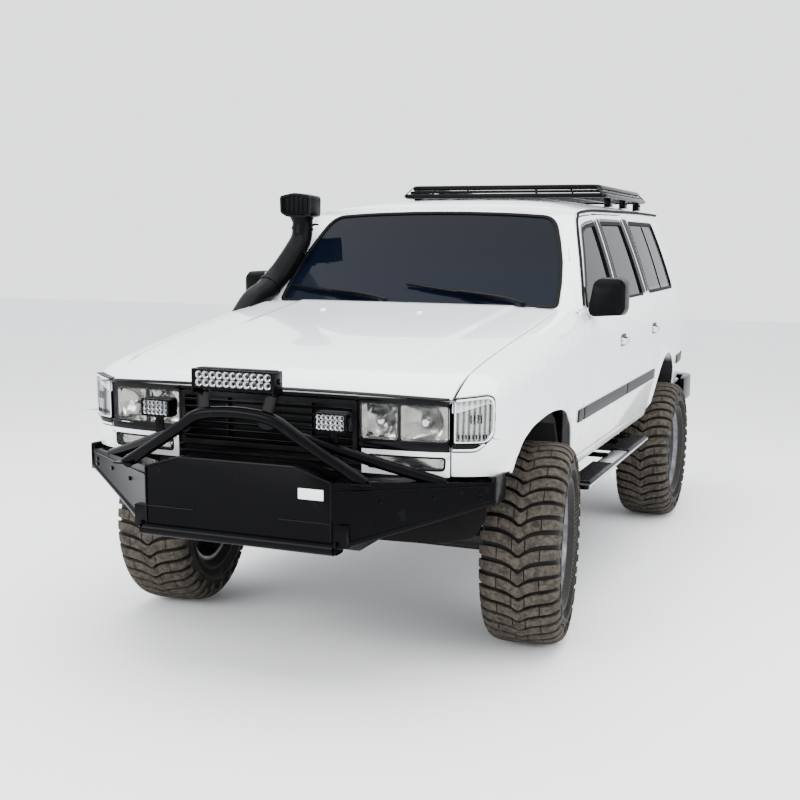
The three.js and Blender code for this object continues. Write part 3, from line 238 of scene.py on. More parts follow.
# The wings are drawn on (a, b): a runs along the body's plan from the windscreen round the nose, and b is
# the height up to SHOULDER_B, then the way up over the shoulder to the bonnet's edge at TOP_B.
SHOULDER_B, TOP_B = 960, 1160
CORNER_Y = -545  # where the side starts to turn round the corner


@lru_cache(None)
def nose_plan():
    """Points round the nose's corner from the side to the bonnet's corner, with their distances."""
    turn_in = Vector((half_width(CORNER_Y), CORNER_Y))
    corner = Vector((901, -622))
    turn_out = Vector((CORNER_X, nose_y(CORNER_X)))
    points = [turn_in * (1 - t) ** 2 + corner * 2 * t * (1 - t) + turn_out * t * t for t in spread(0, 1, 12)]
    return measured(points + [Vector((x, nose_y(x))) for x in spread(CORNER_X, 746, 14)[1:]])


def nose_end():
    return CORNER_Y - nose_plan()[1][-1]


@lru_cache(None)
def plan(a):
    """Plan point and outward direction at a."""
    if a >= CORNER_Y:
        return Vector((half_width(a), a)), Vector((1, 0))
    points, distances = nose_plan()
    here, along = walked(points, distances, min(CORNER_Y - a, distances[-1] - 1e-6))
    out = Vector((-along.y, along.x)).normalized()
    return here, out if out.x > 0 else -out


@lru_cache(None)
def shoulder(a):
    """The way up over the shoulder at a: points with their distances."""
    here, out = plan(a)
    y = here.y if a >= CORNER_Y else mix(here.y, NOSE_Y, clamp((CORNER_Y - a) / 260))
    start, crown, n = STATIONS(y, 1), STATIONS(y, 2), STATIONS(y, 3)
    w = half_width(min(y, 613))
    edge_y = max(here.y, -735)
    inner = Vector((BONNET_HALF(edge_y) + 4, edge_y))
    k = 1 - inner.x / w
    points = [Vector((here.x, here.y, SHOULDER_B))]
    for s in spread(0, 1, 30):
        f = s * s
        p = here + (inner - here) * f
        z = start + (crown - start) * (1 - (1 - f * k) ** n) ** (1 / n)
        x = p.x
        if here.y > 350 and z < 1278:
            x = mix(x, min(x, door_x(here.y, z)), ease((here.y - 350) / 250))
        points.append(Vector((x, p.y, z)))
    return measured(points)


def wing_point(a, b, depth=0.0):
    here, out = plan(round(a, 3))
    if b <= SHOULDER_B:
        p = here - out * (lower_inset(b) + depth - PROUD)
        return Vector((p.x, p.y, b))
    points, distances = shoulder(round(a, 3))
    p, along = walked(points, distances, clamp((b - SHOULDER_B) / (TOP_B - SHOULDER_B)) * distances[-1])
    out3 = (Vector((out.x, out.y, 0)) * abs(along.z) + Vector(UP) * along.xy.length).normalized()
    return p + out3 * (PROUD - depth)


def wing_b(a, z):
    """The b of height z on the shoulder at a."""
    points, distances = shoulder(round(a, 3))
    for i in range(len(points) - 1):
        if points[i].z <= z <= points[i + 1].z:
            t = (z - points[i].z) / max(points[i + 1].z - points[i].z, 1e-6)
            return SHOULDER_B + (TOP_B - SHOULDER_B) * mix(distances[i], distances[i + 1], t) / distances[-1]
    return TOP_B


# ---------- outlines
def oblong(x0, y0, x1, y1):
    return [(x0, y0), (x1, y0), (x1, y1), (x0, y1)]


def rounded(corners, radius, steps=4):
    """A closed outline with its corners rounded; a corner may carry its own radius as a third value."""
    out = []
    n = len(corners)
    for i, corner in enumerate(corners):
        here = Vector(corner[:2])
        before, after = Vector(corners[i - 1][:2]), Vector(corners[(i + 1) % n][:2])
        r = corner[2] if len(corner) > 2 else radius
        to_before, to_after = before - here, after - here
        cut = min(r, to_before.length * 0.48, to_after.length * 0.48)
        if cut < 0.5:
            out.append(here)
            continue
        p, q = here + to_before.normalized() * cut, here + to_after.normalized() * cut
        out += [p * (1 - t) ** 2 + here * 2 * t * (1 - t) + q * t * t for t in spread(0, 1, steps)]
    return [tuple(p) for p in out]


def grown(outline, d):
    """A closed outline with each corner moved outwards by d."""
    n = len(outline)
    area = sum(outline[i - 1][0] * outline[i][1] - outline[i][0] * outline[i - 1][1] for i in range(n))
    k = d if area > 0 else -d
    out = []
    for i in range(n):
        before, here, after = Vector(outline[i - 1]), Vector(outline[i]), Vector(outline[(i + 1) % n])
        e1, e2 = (here - before).normalized(), (after - here).normalized()
        scale = k / max(0.35, 1 + e1.dot(e2))
        out.append((here.x + (e1.y + e2.y) * scale, here.y - (e1.x + e2.x) * scale))
    return out


def arc(cx, cy, r, start, end, n):
    turn = [math.radians(a) for a in spread(start, end, n)]
    return [(cx + r * math.cos(t), cy + r * math.sin(t)) for t in turn]


def door_top(y, drop=21):
    return (y, ROOF(y, 1) - drop)


DOOR_FRONT = [
    (606, 600), (1588, 600), (1588, 1300), door_top(1578), door_top(1300), door_top(1190), (1138, 1690),
    (812, 1306), (780, 1278), (628, 1262), (606, 1180),
]
DOOR_REAR = [
    (1596, 600), (2388, 600), (2416, 664), (2450, 738), (2450, 1180), (2400, 1270), (2330, 1400),
    door_top(2262), door_top(1586), (1596, 1300),
]
WINDOW_FRONT = [(862, 1292), (1522, 1292), (1512, 1698), (1300, 1682), (1196, 1664), (874, 1320)]
WINDOW_REAR = [(1672, 1292), (2290, 1292), (2200, 1708), (1660, 1705)]
WINDOW_QUARTER = [(2480, 1300), (3400, 1300), (3240, 1715), (2420, 1715)]
TAIL_GLASS = [(-560, 1312), (560, 1312), (480, 1690), (-480, 1690)]
FRONT_ARCH = [
    (472, 480), (446, 560), (420, 660), (350, 790), (240, 870), (60, 899), (-150, 893), (-330, 862),
    (-440, 800), (-494, 730), (-520, 520),
]
ARCH_Z, ARCH_R = 459, 440  # the rear arch's middle and radius
LIP, LIP_WIDTH = 9, 46  # how far an arch's lip stands out, and over what width


def off_line(spot, p, q):
    """How far a spot is from the line between two points."""
    along = q - p
    return (spot - p - along * clamp((spot - p).dot(along) / along.length_squared)).length


ARCH_EDGES = [
    ends
    for edge in (FRONT_ARCH, arc(WHEELBASE, ARCH_Z, ARCH_R, 0, 180, 24))
    for ends in zip(map(Vector, edge), map(Vector, edge[1:]))
]


def arch_lift(y, z):
    """How far the pressed lip round a wheel arch stands out."""
    best = min(off_line(Vector((y, z)), p, q) for p, q in ARCH_EDGES)
    return LIP * (1 - clamp(best / LIP_WIDTH)) ** 1.6


# ---------- modelling helpers
def inside(p, outline):
    hit = False
    for i, (ax, ay) in enumerate(outline):
        bx, by = outline[i - 1]
        if (ay > p[1]) != (by > p[1]) and p[0] < (bx - ax) * (p[1] - ay) / (by - ay) + ax:
            hit = not hit
    return hit


def cut_along(bm, p, q, reach):
    """Cuts the flat grid with the edge p-q, only where the edge runs."""
    p, q = Vector((*p, 0)), Vector((*q, 0))
    along = q - p
    if along.length < 1e-3:
        return
    near = [face for face in bm.faces if off_line(face.calc_center_median(), p, q) < reach]
    geom = dict.fromkeys(near)  # a dict keeps the order, so each run cuts alike
    for face in near:
        geom.update(dict.fromkeys([*face.edges, *face.verts]))
    across_it = Vector((-along.y, along.x, 0)).normalized()
    bmesh.ops.bisect_plane(bm, geom=list(geom), dist=SLIVER, plane_co=p, plane_no=across_it)


def flat_panel(outline, holes, step):
    """A flat grid trimmed to an outline and its holes."""
    bm = bmesh.new()
    low = [min(p[i] for p in outline) for i in (0, 1)]
    high = [max(p[i] for p in outline) for i in (0, 1)]
    counts = [max(1, math.ceil((high[i] - low[i]) / step)) for i in (0, 1)]
    bmesh.ops.create_grid(bm, x_segments=counts[0], y_segments=counts[1], size=0.5)
    size = Vector((high[0] - low[0], high[1] - low[1], 1))
    bmesh.ops.scale(bm, vec=size, verts=bm.verts)
    moved(bm, ((low[0] + high[0]) / 2, (low[1] + high[1]) / 2, 0))
    for loop in [outline, *holes]:
        for i in range(len(loop)):
            cut_along(bm, loop[i - 1], loop[i], step * CUT_REACH)
    out = []
    for face in bm.faces:
        centre = face.calc_center_median()
        if not inside(centre, outline) or any(inside(centre, hole) for hole in holes):
            out.append(face)
    bmesh.ops.delete(bm, geom=out, context="FACES")
    rim = [v for v in bm.verts if v.is_boundary]
    near = bmesh.ops.find_doubles(bm, verts=bm.verts, keep_verts=rim, dist=min(step * WELD_SHARE, WELD))
    bmesh.ops.weld_verts(bm, targetmap=near["targetmap"])
    return bm


def facing(bm, out):
    """Turns an open sheet over if it faces away from out."""
    bm.normal_update()
    total = sum((face.normal * face.calc_area() for face in bm.faces), Vector())
    if total.dot(Vector(out)) < 0:
        bmesh.ops.reverse_faces(bm, faces=bm.faces)


def thicken(bm, thick):
    """Closes an open sheet with a second face, thick millimetres behind it."""
    bm.normal_update()
    layer = bm.verts.layers.float_vector.new("out")
    for v in bm.verts:
        v[layer] = v.normal
    made = bmesh.ops.extrude_face_region(bm, geom=bm.faces[:], use_keep_orig=True)["geom"]
    for v in made:
        if isinstance(v, bmesh.types.BMVert):
            v.co -= v[layer] * thick
    bm.verts.layers.float_vector.remove(layer)
    bmesh.ops.recalc_face_normals(bm, faces=bm.faces)


def panel(outline, place, out, step=40, thick=4.0, holes=(), edge=0.0):
    """A closed sheet trimmed to an outline and laid on a surface."""
    bm = flat_panel(outline, holes, step)
    for v in bm.verts:
        v.co = place(v.co.x, v.co.y)
    facing(bm, out)
    thicken(bm, thick)
    if edge:
        soften(bm, edge, SHARP)
        bmesh.ops.dissolve_degenerate(bm, edges=bm.edges, dist=SLIVER)
        bmesh.ops.delete(bm, geom=[e for e in bm.edges if e.is_wire], context="EDGES")
        bmesh.ops.holes_fill(bm, edges=[e for e in bm.edges if e.is_boundary], sides=4)
    return bm


def sheet(nu, nv, place, out, thick=4.0, edge=0.0):
    """A closed sheet over u and v, both from 0 to 1."""
    bm = bmesh.new()
    bmesh.ops.create_grid(bm, x_segments=nu, y_segments=nv, size=0.5)
    for v in bm.verts:
        v.co = place(v.co.x + 0.5, v.co.y + 0.5)
    facing(bm, out)
    thicken(bm, thick)
    if edge:
        soften(bm, edge, SHARP)
    return bm


def soften(bm, width, degrees=35, segments=2):
    """Rounds the edges that turn by more than so many degrees."""
    bm.normal_update()
    limit = math.radians(degrees)
    edges = [e for e in bm.edges if len(e.link_faces) == 2 and e.calc_face_angle(0) > limit]
    bmesh.ops.bevel(
        bm, geom=edges, offset=width, offset_type="OFFSET", affect="EDGES", segments=segments,
        profile=0.5, material=-1, clamp_overlap=True,
    )


def added(bm, other):
    """Moves other's geometry into bm."""
    mesh = bpy.data.meshes.new("part")
    other.to_mesh(mesh)
    other.free()
    bm.from_mesh(mesh)
    bpy.data.meshes.remove(mesh)
    return bm


def moved(bm, vec):
    bmesh.ops.translate(bm, vec=vec, verts=bm.verts)
    return bm


def block(low, high, edge=0.0):
    """A box with rounded edges."""
    bm = bmesh.new()
    bmesh.ops.create_cube(bm, size=1)
    low, high = Vector(low), Vector(high)
    bmesh.ops.scale(bm, vec=high - low, verts=bm.verts)
    if edge:
        soften(bm, edge)
    return moved(bm, (low + high) / 2)


def aimed(a, b):
    """A matrix at a whose z looks at b."""
    a, b = Vector(a), Vector(b)
    return Matrix.Translation(a) @ (b - a).to_track_quat("Z", "Y").to_matrix().to_4x4()


def rod(a, b, radius, sides=16, end=None, edge=0.0):
    """A round bar from a to b, tapering to end when that is given."""
    bm = bmesh.new()
    length = (Vector(b) - Vector(a)).length
    bmesh.ops.create_cone(
        bm, cap_ends=True, cap_tris=False, segments=sides, radius1=radius,
        radius2=radius if end is None else end, depth=length,
    )
    moved(bm, (0, 0, length / 2))
    if edge:
        soften(bm, edge, 50)
    bmesh.ops.transform(bm, matrix=aimed(a, b), verts=bm.verts)
    return bm


def smooth_path(points, steps=6):
    """A curve through the points, straight-ended."""
    pts = [Vector(p) for p in points]
    pts = [pts[0] * 2 - pts[1], *pts, pts[-1] * 2 - pts[-2]]
    out = []
    for p0, p1, p2, p3 in zip(pts, pts[1:], pts[2:], pts[3:]):
        for i in range(steps):
            t = i / steps
            out.append(
                0.5 * (2 * p1 + (p2 - p0) * t + (2 * p0 - 5 * p1 + 4 * p2 - p3) * t**2
                       + (3 * p1 - p0 - 3 * p2 + p3) * t**3)
            )
    return out + [pts[-2]]


def swept(path, sizes, sides=14, up=UP, closed=False):
    """A bar swept along a path; sizes gives its half width and half height, or a pair for each point."""
    bm = bmesh.new()
    path = [Vector(p) for p in path]
    n = len(path)
    pairs = sizes if isinstance(sizes, list) else [sizes] * n
    made = bmesh.ops.create_circle(bm, cap_ends=False, segments=sides, radius=1)["verts"]
    shape = [v.co.copy() for v in made]
    rings = [made]
    edges = bm.edges[:]
    for _ in range(n - 1):
        grown_edges = bmesh.ops.extrude_edge_only(bm, edges=edges)["geom"]
        edges = [g for g in grown_edges if isinstance(g, bmesh.types.BMEdge)]
        rings.append([g for g in grown_edges if isinstance(g, bmesh.types.BMVert)])
    side = None
    for i, ring in enumerate(rings):
        before = path[i - 1] if i or closed else path[i]
        after = path[(i + 1) % n] if i + 1 < n or closed else path[i]
        into, out = (path[i] - before).normalized(), (after - path[i]).normalized()
        along = (into + out).normalized()
        side = along.cross(Vector(up)) if abs(along.dot(Vector(up).normalized())) < 0.97 else side
        if side is None or side.length < 1e-3:
            side = along.orthogonal()
        side = (side - along * side.dot(along)).normalized()
        other = side.cross(along)
        stretch = 1 / max(0.5, math.sqrt(max(0.0, (1 + into.dot(out)) / 2))) if into.length and out.length else 1
        w, h = pairs[i]
        for v, s in zip(ring, shape):
            v.co = path[i] + side * s.x * w * stretch + other * s.y * h
    if closed:
        bmesh.ops.bridge_loops(bm, edges=[e for e in bm.edges if e.is_boundary])
    else:
        bmesh.ops.holes_fill(bm, edges=[e for e in bm.edges if e.is_boundary], sides=0)
    return bm


def tube(path, radius, sides=14):
    return swept(path, (radius, radius), sides)


def spun(profile, steps, axis=LEFT, start=UP):
    """A profile of (along, radius) rows turned fully about an axis."""
    bm = bmesh.new()
    axis, start = Vector(axis), Vector(start)
    verts = [bm.verts.new(axis * x + start * r) for x, r in profile]
    edges = [bm.edges.new(pair) for pair in zip(verts, verts[1:])]
    bmesh.ops.spin(
        bm, geom=verts + edges, cent=(0, 0, 0), axis=axis, dvec=(0, 0, 0), angle=2 * math.pi,
        steps=steps, use_merge=True, use_duplicate=False,
    )
    bmesh.ops.remove_doubles(bm, verts=bm.verts, dist=0.01)
    return bm


def plate(outline, place, thick, out, edge=0.0):
    """A flat sheet cut to an outline and set in place, with no inner grid."""
    bm = bmesh.new()
    verts = [bm.verts.new(place(a, b)) for a, b in outline]
    bm.faces.new(verts)
    facing(bm, out)
    thicken(bm, thick)
    if edge:
        soften(bm, edge, 40)
    return bm


def laid_on(surface, out):
    """A maker of sheets that lie on one surface of the body, so far under its skin."""

    def lay(outline, depth, step, thick, holes=(), edge=0.0):
        return panel(outline, sunk(surface, depth), out, step, thick, holes, edge)

    return lay


on_side, on_front, on_tail = laid_on(side_point, LEFT), laid_on(front_point, AHEAD), laid_on(tail_point, ASTERN)


def ring_seal(lay, outline, depth, inner, outer, thick, edge=1.0):
    """A strip that follows a window's edge."""
    return lay(grown(outline, outer), depth, 60, thick, [grown(outline, inner)], edge)


# ---------- pieces
# the colour slot that each finish belongs to, unless a piece says otherwise
SLOTS = {
    "white_enamel": "white_paint", "muddy_tyre_rubber": "tyre_rubber", "powder_coated_steel": "black_steel",
    "dusty_cast_alloy": "wheel_alloy", "rolled_aluminium": "wheel_alloy",
    "filmed_laminated_glass": "tinted_glass", "filmed_toughened_glass": "tinted_glass",
    "aluminised_reflector": "clear_lens", "chromium_plate": "clear_lens", "clear_polycarbonate": "clear_lens",
    "lamp_white_edge": "clear_lens", "led_phosphor": "clear_lens",
    "red_acrylic": "red_lens", "amber_acrylic": "red_lens", "fluted_polycarbonate": "clear_lens",
    "woven_seat_cloth": "seat_cloth", "woven_headlining": "seat_cloth",
    "chassis_black_under_road_film": "cast_iron", "weathered_cast_iron": "cast_iron",
}


def piece(bm, name, finish, body="chassis", slot=None, place=BODY, flip=False, stands_for=(), smooth=35):
    """Turns drawn geometry into an object in the frame that rides on a CAD body."""
    if flip:
        bmesh.ops.scale(bm, vec=(-1, 1, 1), verts=bm.verts)
    bmesh.ops.recalc_face_normals(bm, faces=bm.faces)
    bmesh.ops.transform(bm, matrix=place, verts=bm.verts)
    mesh = bpy.data.meshes.new(name)
    bm.to_mesh(mesh)
    bm.free()
    mesh.polygons.foreach_set("use_smooth", [True] * len(mesh.polygons))
    mesh.set_sharp_from_angle(angle=math.radians(smooth))
    mesh.materials.append(bpy.data.materials[finish])
    obj = bpy.data.objects.new(name, mesh)
    bpy.context.scene.collection.objects.link(obj)
    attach(obj, body)
    slot or SLOTS.get(finish, "black_plastic")
    if stands_for:
        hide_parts(*stands_for)
    return obj


def pair(bm, name, finish, body="chassis", stands_for=(), **more):
    """The same piece on both sides; {side} in a name becomes left or right."""
    for side, flip in SIDES:
        nodes = tuple(node.format(side=side) for node in stands_for)
        piece(bm.copy(), f"{name}_{side}", finish, body.format(side=side), flip=flip, stands_for=nodes, **more)
    bm.free()


def together(parts):
    """One bmesh from several."""
    whole = bmesh.new()
    for part in parts:
        added(whole, part)
    return whole


def copied(node, edge=0.0, degrees=30, segments=2):
    """A merged copy of a CAD node's mesh in metres, its flat faces whole and its edges rounded."""
    bm = bmesh.new()
    bm.from_mesh(frame["nodes"][node].data)
    bmesh.ops.remove_doubles(bm, verts=bm.verts, dist=1e-5)
    bmesh.ops.dissolve_limit(
        bm, angle_limit=math.radians(1), verts=bm.verts, edges=bm.edges, use_dissolve_boundaries=False
    )
    if edge:
        soften(bm, edge * MM, degrees, segments)
    return bm


# ---------- finishes
AXLES_Y = (-1.448, 1.402)  # where the axles cross the part's middle plane, in metres
HUB_Z, ARCH_OUT, ARCH_SHADE_R = 0.45, 0.6, 0.585  # a wheel arch's middle, and the ring where its dark lining and painted shade end
MATH, MAP, MIX, NOISE, BUMP = (
    "ShaderNode" + kind for kind in ("Math", "MapRange", "Mix", "TexNoise", "Bump")
)
TIMES, PLUS, MINUS = ({"operation": name} for name in ("MULTIPLY", "ADD", "SUBTRACT"))
LARGER, SMOOTH, COLOURS = {"operation": "MAXIMUM"}, {"interpolation_type": "SMOOTHSTEP"}, {"data_type": "RGBA"}


def put(made, *values, **named):
    """Fills a node's inputs, in order or by name: a socket is linked, any other value is set."""
    for key, value in [*enumerate(values), *named.items()]:
        if isinstance(key, str):
            key = int(key[1:]) if key[1:].isdigit() else key.replace("_", " ")
        if isinstance(value, bpy.types.NodeSocket):
            made.id_data.links.new(value, made.inputs[key])
        else:
            made.inputs[key].default_value = value


def node(mat, kind, settings, *values, out=0, **named):
    """Adds a node with its settings and links, and gives back one of its outputs."""
    made = mat.node_tree.nodes.new(kind)
    for key, value in settings.items():
        setattr(made, key, value)
    put(made, *values, **named)
    return made.outputs[out]


def finish(name):
    """An empty material with its Principled shader, and a way to add nodes to it."""
    mat = bpy.data.materials.new(name)
    mat.use_nodes = True
    mat.node_tree.nodes.clear()
    surface = node(mat, "ShaderNodeBsdfPrincipled", {})
    node_out = mat.node_tree.nodes.new("ShaderNodeOutputMaterial")
    put(node_out, surface)
    return partial(node, mat), surface.node


def place_of(add):
    return add("ShaderNodeTexCoord", {}, out="Object")


def heights(add, axis="Z"):
    return add("ShaderNodeSeparateXYZ", {}, place_of(add), out=axis)


def speckle(add, size, detail=3.0, stretch=(1, 1, 1), warp=0.0):
    """Noise whose grains are about size metres across, from 0 to 1."""
    place = add("ShaderNodeMapping", {}, place_of(add), Scale=stretch)
    return add(NOISE, {}, place, Scale=1 / (2 * size), Detail=detail, Distortion=warp, out="Fac")


def blend(add, share, low, high):
    """Goes from one tone to another; a tone may be an sRGB hex value."""
    low, high = (linear(tone) if isinstance(tone, str) else tone for tone in (low, high))
    return add(MIX, COLOURS, share, i6=low, i7=high, out=2)


def relief(add, height, depth, strength):
    return add(BUMP, {}, Height=height, Distance=depth, Strength=strength)


def pebble(add, size, detail, depth, strength):
    """A relief of speckles so many metres deep."""
    return relief(add, speckle(add, size, detail), depth, strength)


def road_dust(add, amount, low=0.62, high=1.08):
    """Dust that thins out from the height low to the height high, broken up by noise."""
    height = add(MAP, SMOOTH, heights(add), low, high, 1.0, 0.0)
    patches = add(MAP, SMOOTH, speckle(add, 0.09, 6), 0.35, 0.7)
    cover = add(MATH, PLUS, add(MATH, TIMES, patches, 0.75), 0.2)
    return add(MATH, TIMES, add(MATH, TIMES, height, cover), amount)


def toned(name, low, high, size, detail, stretch=(1, 1, 1), warp=0.0, cut=None, rough=None, bump=None, **settings):
    """A finish that goes from one tone to another over speckles.

    cut holds the speckles' values where the change starts and ends, rough the roughness at its two ends,
    and bump the pebble's size, detail, depth and strength. Settings go on the shader itself.
    """
    add, shader = finish(name)
    tones = speckle(add, size, detail, stretch, warp)
    if cut:
        tones = add(MAP, SMOOTH, tones, *cut)
    if rough:
        settings["Roughness"] = add(MAP, SMOOTH, tones, 0.0, 1.0, *rough)
    if bump:
        settings["Normal"] = pebble(add, *bump)
    put(shader, Base_Color=blend(add, tones, low, high), **settings)
    return add, shader


def make_finishes(colours):
    white, dust = tuple(colours.paint) + (1,), linear("#a59c8f")

    # solid white two-pack enamel: clear, hard reflections over a faint orange peel, dusty along the sills
    add, shader = finish("white_enamel")
    tone = blend(add, speckle(add, 0.4, 2), white, "#e2e5e8")
    dirt = road_dust(add, 0.55)
    put(shader, Base_Color=blend(add, dirt, tone, dust), Coat_Weight=1.0, Coat_Roughness=0.05,
        Roughness=add(MAP, SMOOTH, dirt, 0.0, 0.5, 0.32, 0.7), Normal=pebble(add, 0.012, 1, 0.0002, 0.15))

    # the same paint on the CAD tub, with dark lining in the cabin and engine bay, and near black in the arches: their
    # lining and painted shade
    add, shader = finish("tub_paint_and_lining")
    z = heights(add)
    lean = [  # the sides lean in above the belt, more near the roof
        add(MATH, TIMES, add(MATH, LARGER, add(MATH, MINUS, z, start), 0.0), slope)
        for start, slope in ((1.385, 0.33), (1.7, 1.2))
    ]
    outer = add(MATH, PLUS, add(MATH, {"operation": "ABSOLUTE"}, heights(add, "X")), add(MATH, PLUS, *lean))
    painted = add(MAP, SMOOTH, outer, 0.825, 0.832)
    for reach, low, high in ((z, 1.872, 1.874), (heights(add, "Y"), 2.13, 2.14)):
        painted = add(MATH, LARGER, painted, add(MAP, SMOOTH, reach, low, high))
    # near black within a ring round each axle: lining in the arch, and painted shade inside it
    for axle_y in AXLES_Y:
        flat = add("ShaderNodeVectorMath", TIMES, place_of(add), (0, 1, 1))
        gap = add("ShaderNodeVectorMath", {"operation": "DISTANCE"}, flat, (0, axle_y, HUB_Z), out="Value")
        painted = add(MATH, TIMES, painted, add(MAP, SMOOTH, gap, ARCH_SHADE_R, ARCH_OUT))
    lining_and_arch_shade = blend(add, speckle(add, 0.05, 4), "#08080a", "#131315")
    dusty = blend(add, road_dust(add, 0.6), white, dust)
    put(shader, Base_Color=blend(add, painted, lining_and_arch_shade, dusty), Coat_Weight=0.3,
        Roughness=add(MAP, SMOOTH, painted, 0.0, 1.0, 0.85, 0.34))

    # doors and tailgates: painted outside, jamb and edge, moulded grey vinyl trim inside
    add, shader = finish("door_paint_and_trim")
    facing_x = add("ShaderNodeSeparateXYZ", {}, add("ShaderNodeNewGeometry", {}, out="Normal"), out="X")
    side = add(MATH, {"operation": "SIGN"}, heights(add, "X"))
    trim = add(MAP, SMOOTH, add(MATH, TIMES, facing_x, side), -0.6, -0.5, 1.0, 0.0)
    vinyl = blend(add, speckle(add, 0.004, 2), "#3b3c3e", "#4a4b4c")
    put(shader, Base_Color=blend(add, trim, white, vinyl), Coat_Weight=0.2,
        Roughness=add(MAP, SMOOTH, trim, 0.0, 1.0, 0.34, 0.65), Normal=pebble(add, 0.003, 2, 0.0003, 0.2))

    # laminated windscreen with a smoke film: near opaque slate, mirror smooth
    add, shader = finish("filmed_laminated_glass")
    up = add(MAP, SMOOTH, heights(add), 1.35, 1.85)
    put(shader, Base_Color=blend(add, up, "#080d18", "#04070f"), Alpha=0.97,
        Roughness=0.04, Specular_IOR_Level=0.05, Normal=pebble(add, 0.5, 0, 0.002, 0.1))

    # toughened side glass with a darker film
    toned("filmed_toughened_glass", "#050608", "#0c0e11", 0.3, 1, bump=(0.4, 0, 0.003, 0.12), Alpha=0.93,
          Roughness=0.05, Specular_IOR_Level=0.04)

    # clear moulded polycarbonate: you see the bowl behind it, with one crisp reflection on top
    toned("clear_polycarbonate", "#3d4042", "#505355", 0.1, 1, Alpha=0.1, Roughness=0.04, Specular_IOR_Level=0.22)

    # the same plastic pressed with upright flutes 7 mm apart, which break up what stands behind; its colour runs in
    # light and dark bands across the flutes, painted highlights on their crests and painted shade in their troughs
    add, shader = finish("fluted_polycarbonate")
    plan_place = add("ShaderNodeMapping", {}, place_of(add), Scale=(1, 1, 0))
    flute_highlights_and_relief = add("ShaderNodeTexWave", {"bands_direction": "DIAGONAL"}, plan_place, Scale=1 / 0.044, out="Fac")
    # painted highlights and painted shade: the flutes' light and dark bands are put into the base colour
    put(shader, Base_Color=blend(add, flute_highlights_and_relief, "#2f3132", "#c9cbcb"), Alpha=0.34,
        Roughness=0.08, Specular_IOR_Level=0.3, Normal=relief(add, flute_highlights_and_relief, 0.0015, 0.8))

    # aluminised lamp bowl: bright, faintly streaked
    toned("aluminised_reflector", "#6f6f6b", "#c2c1ba", 0.02, 2, bump=(0.012, 1, 0.0008, 0.12), Metallic=1.0,
          Roughness=0.17)

    # chromium plate on handles and lamp strips
    add, shader = toned("chromium_plate", "#c6c8cc", "#dfe1e4", 0.03, 2, Metallic=1.0)
    put(shader, Roughness=add(MAP, SMOOTH, speckle(add, 0.02, 4), 0.3, 0.8, 0.08, 0.2))

    # powder-coated steel plate and tube: satin blue-black with a fine pebble, rubbed grey here and there
    add, shader = finish("powder_coated_steel")
    worn = add(MAP, SMOOTH, speckle(add, 0.03, 6, warp=0.4), 0.62, 0.8)
    base = blend(add, speckle(add, 0.2, 2), "#020203", "#050507")
    rubbed = add(MATH, TIMES, worn, 0.25)
    put(shader, Base_Color=blend(add, rubbed, base, "#1c1d21"), Specular_IOR_Level=0.05,
        Roughness=add(MAP, SMOOTH, worn, 0.0, 1.0, 0.24, 0.45), Normal=pebble(add, 0.002, 2, 0.0003, 0.25))

    # black plastics, from dark tone, light tone, grain, roughness and gloss: the grained ABS of mirror sails,
    # whose real grain of 0.5 mm is drawn at 2 mm; the grille's glossier frame; the satin ABS of snorkel and wipers
    for name, low, high, size, patch, rough, shine, bump in (
        ("grained_black_abs", "#050506", "#090a0c", 0.05, 0.02, (0.34, 0.46), 0.09, (0.002, 2, 0.0003, 0.3)),
        ("grille_plastic", "#040405", "#08090b", 0.08, 0.03, (0.28, 0.38), 0.12, (0.004, 2, 0.0003, 0.15)),
        ("satin_black_abs", "#040405", "#08090b", 0.08, 0.03, (0.3, 0.4), 0.05, (0.004, 2, 0.0003, 0.15)),
    ):
        add, shader = toned(name, low, high, size, 3, bump=bump, Specular_IOR_Level=shine)
        put(shader, Roughness=add(MAP, SMOOTH, speckle(add, patch, 4), 0.3, 0.7, *rough))

    # white acrylic edge of the corner lamps
    toned("lamp_white_edge", "#dfe2e4", "#f2f4f5", 0.03, 2, Roughness=0.15, Coat_Weight=0.5)

    # matt EPDM seals
    toned("epdm_rubber", "#040405", "#0a0a0b", 0.02, 3, bump=(0.002, 2, 0.0003, 0.2), Roughness=0.7,
          Specular_IOR_Level=0.1)

    # grey polypropylene side moulding, a little chalked
    toned("grey_polypropylene", "#141517", "#1e1f21", 0.15, 4, (1, 0.2, 1), bump=(0.002, 2, 0.0003, 0.2),
          Roughness=0.45, Specular_IOR_Level=0.09)

    # brushed dark tape on the window posts
    toned("satin_pillar_tape", "#141518", "#202225", 0.004, 2, (1, 1, 0.05), Roughness=0.5, Specular_IOR_Level=0.05)

    # black vinyl tape and painted window surrounds
    toned("gloss_black_surround", "#030304", "#070809", 0.1, 2, Roughness=0.2, Specular_IOR_Level=0.1)

    # tyre rubber under dried mud: the mud attribute is 1 on the lugs' faces, where the mud lies, and falls to 0 down
    # their sides and in the grooves, whose black is painted shade
    add, shader = finish("muddy_tyre_rubber")
    mud = add("ShaderNodeAttribute", {"attribute_name": "mud"}, out="Fac")
    clods = add(MAP, SMOOTH, speckle(add, 0.012, 8, warp=0.5), 0.28, 0.66)
    cover = add(MATH, TIMES, mud, add(MATH, PLUS, add(MATH, TIMES, clods, 0.75), 0.25))
    rubber = blend(add, speckle(add, 0.02, 4), "#0b0b0b", "#151413")
    soil = blend(add, speckle(add, 0.007, 5), "#262320", "#5a544b")
    put(shader, Base_Color=blend(add, cover, rubber, soil), Specular_IOR_Level=0.15,
        Roughness=add(MAP, SMOOTH, cover, 0.0, 1.0, 0.62, 0.95), Normal=pebble(add, 0.004, 5, 0.002, 0.6))

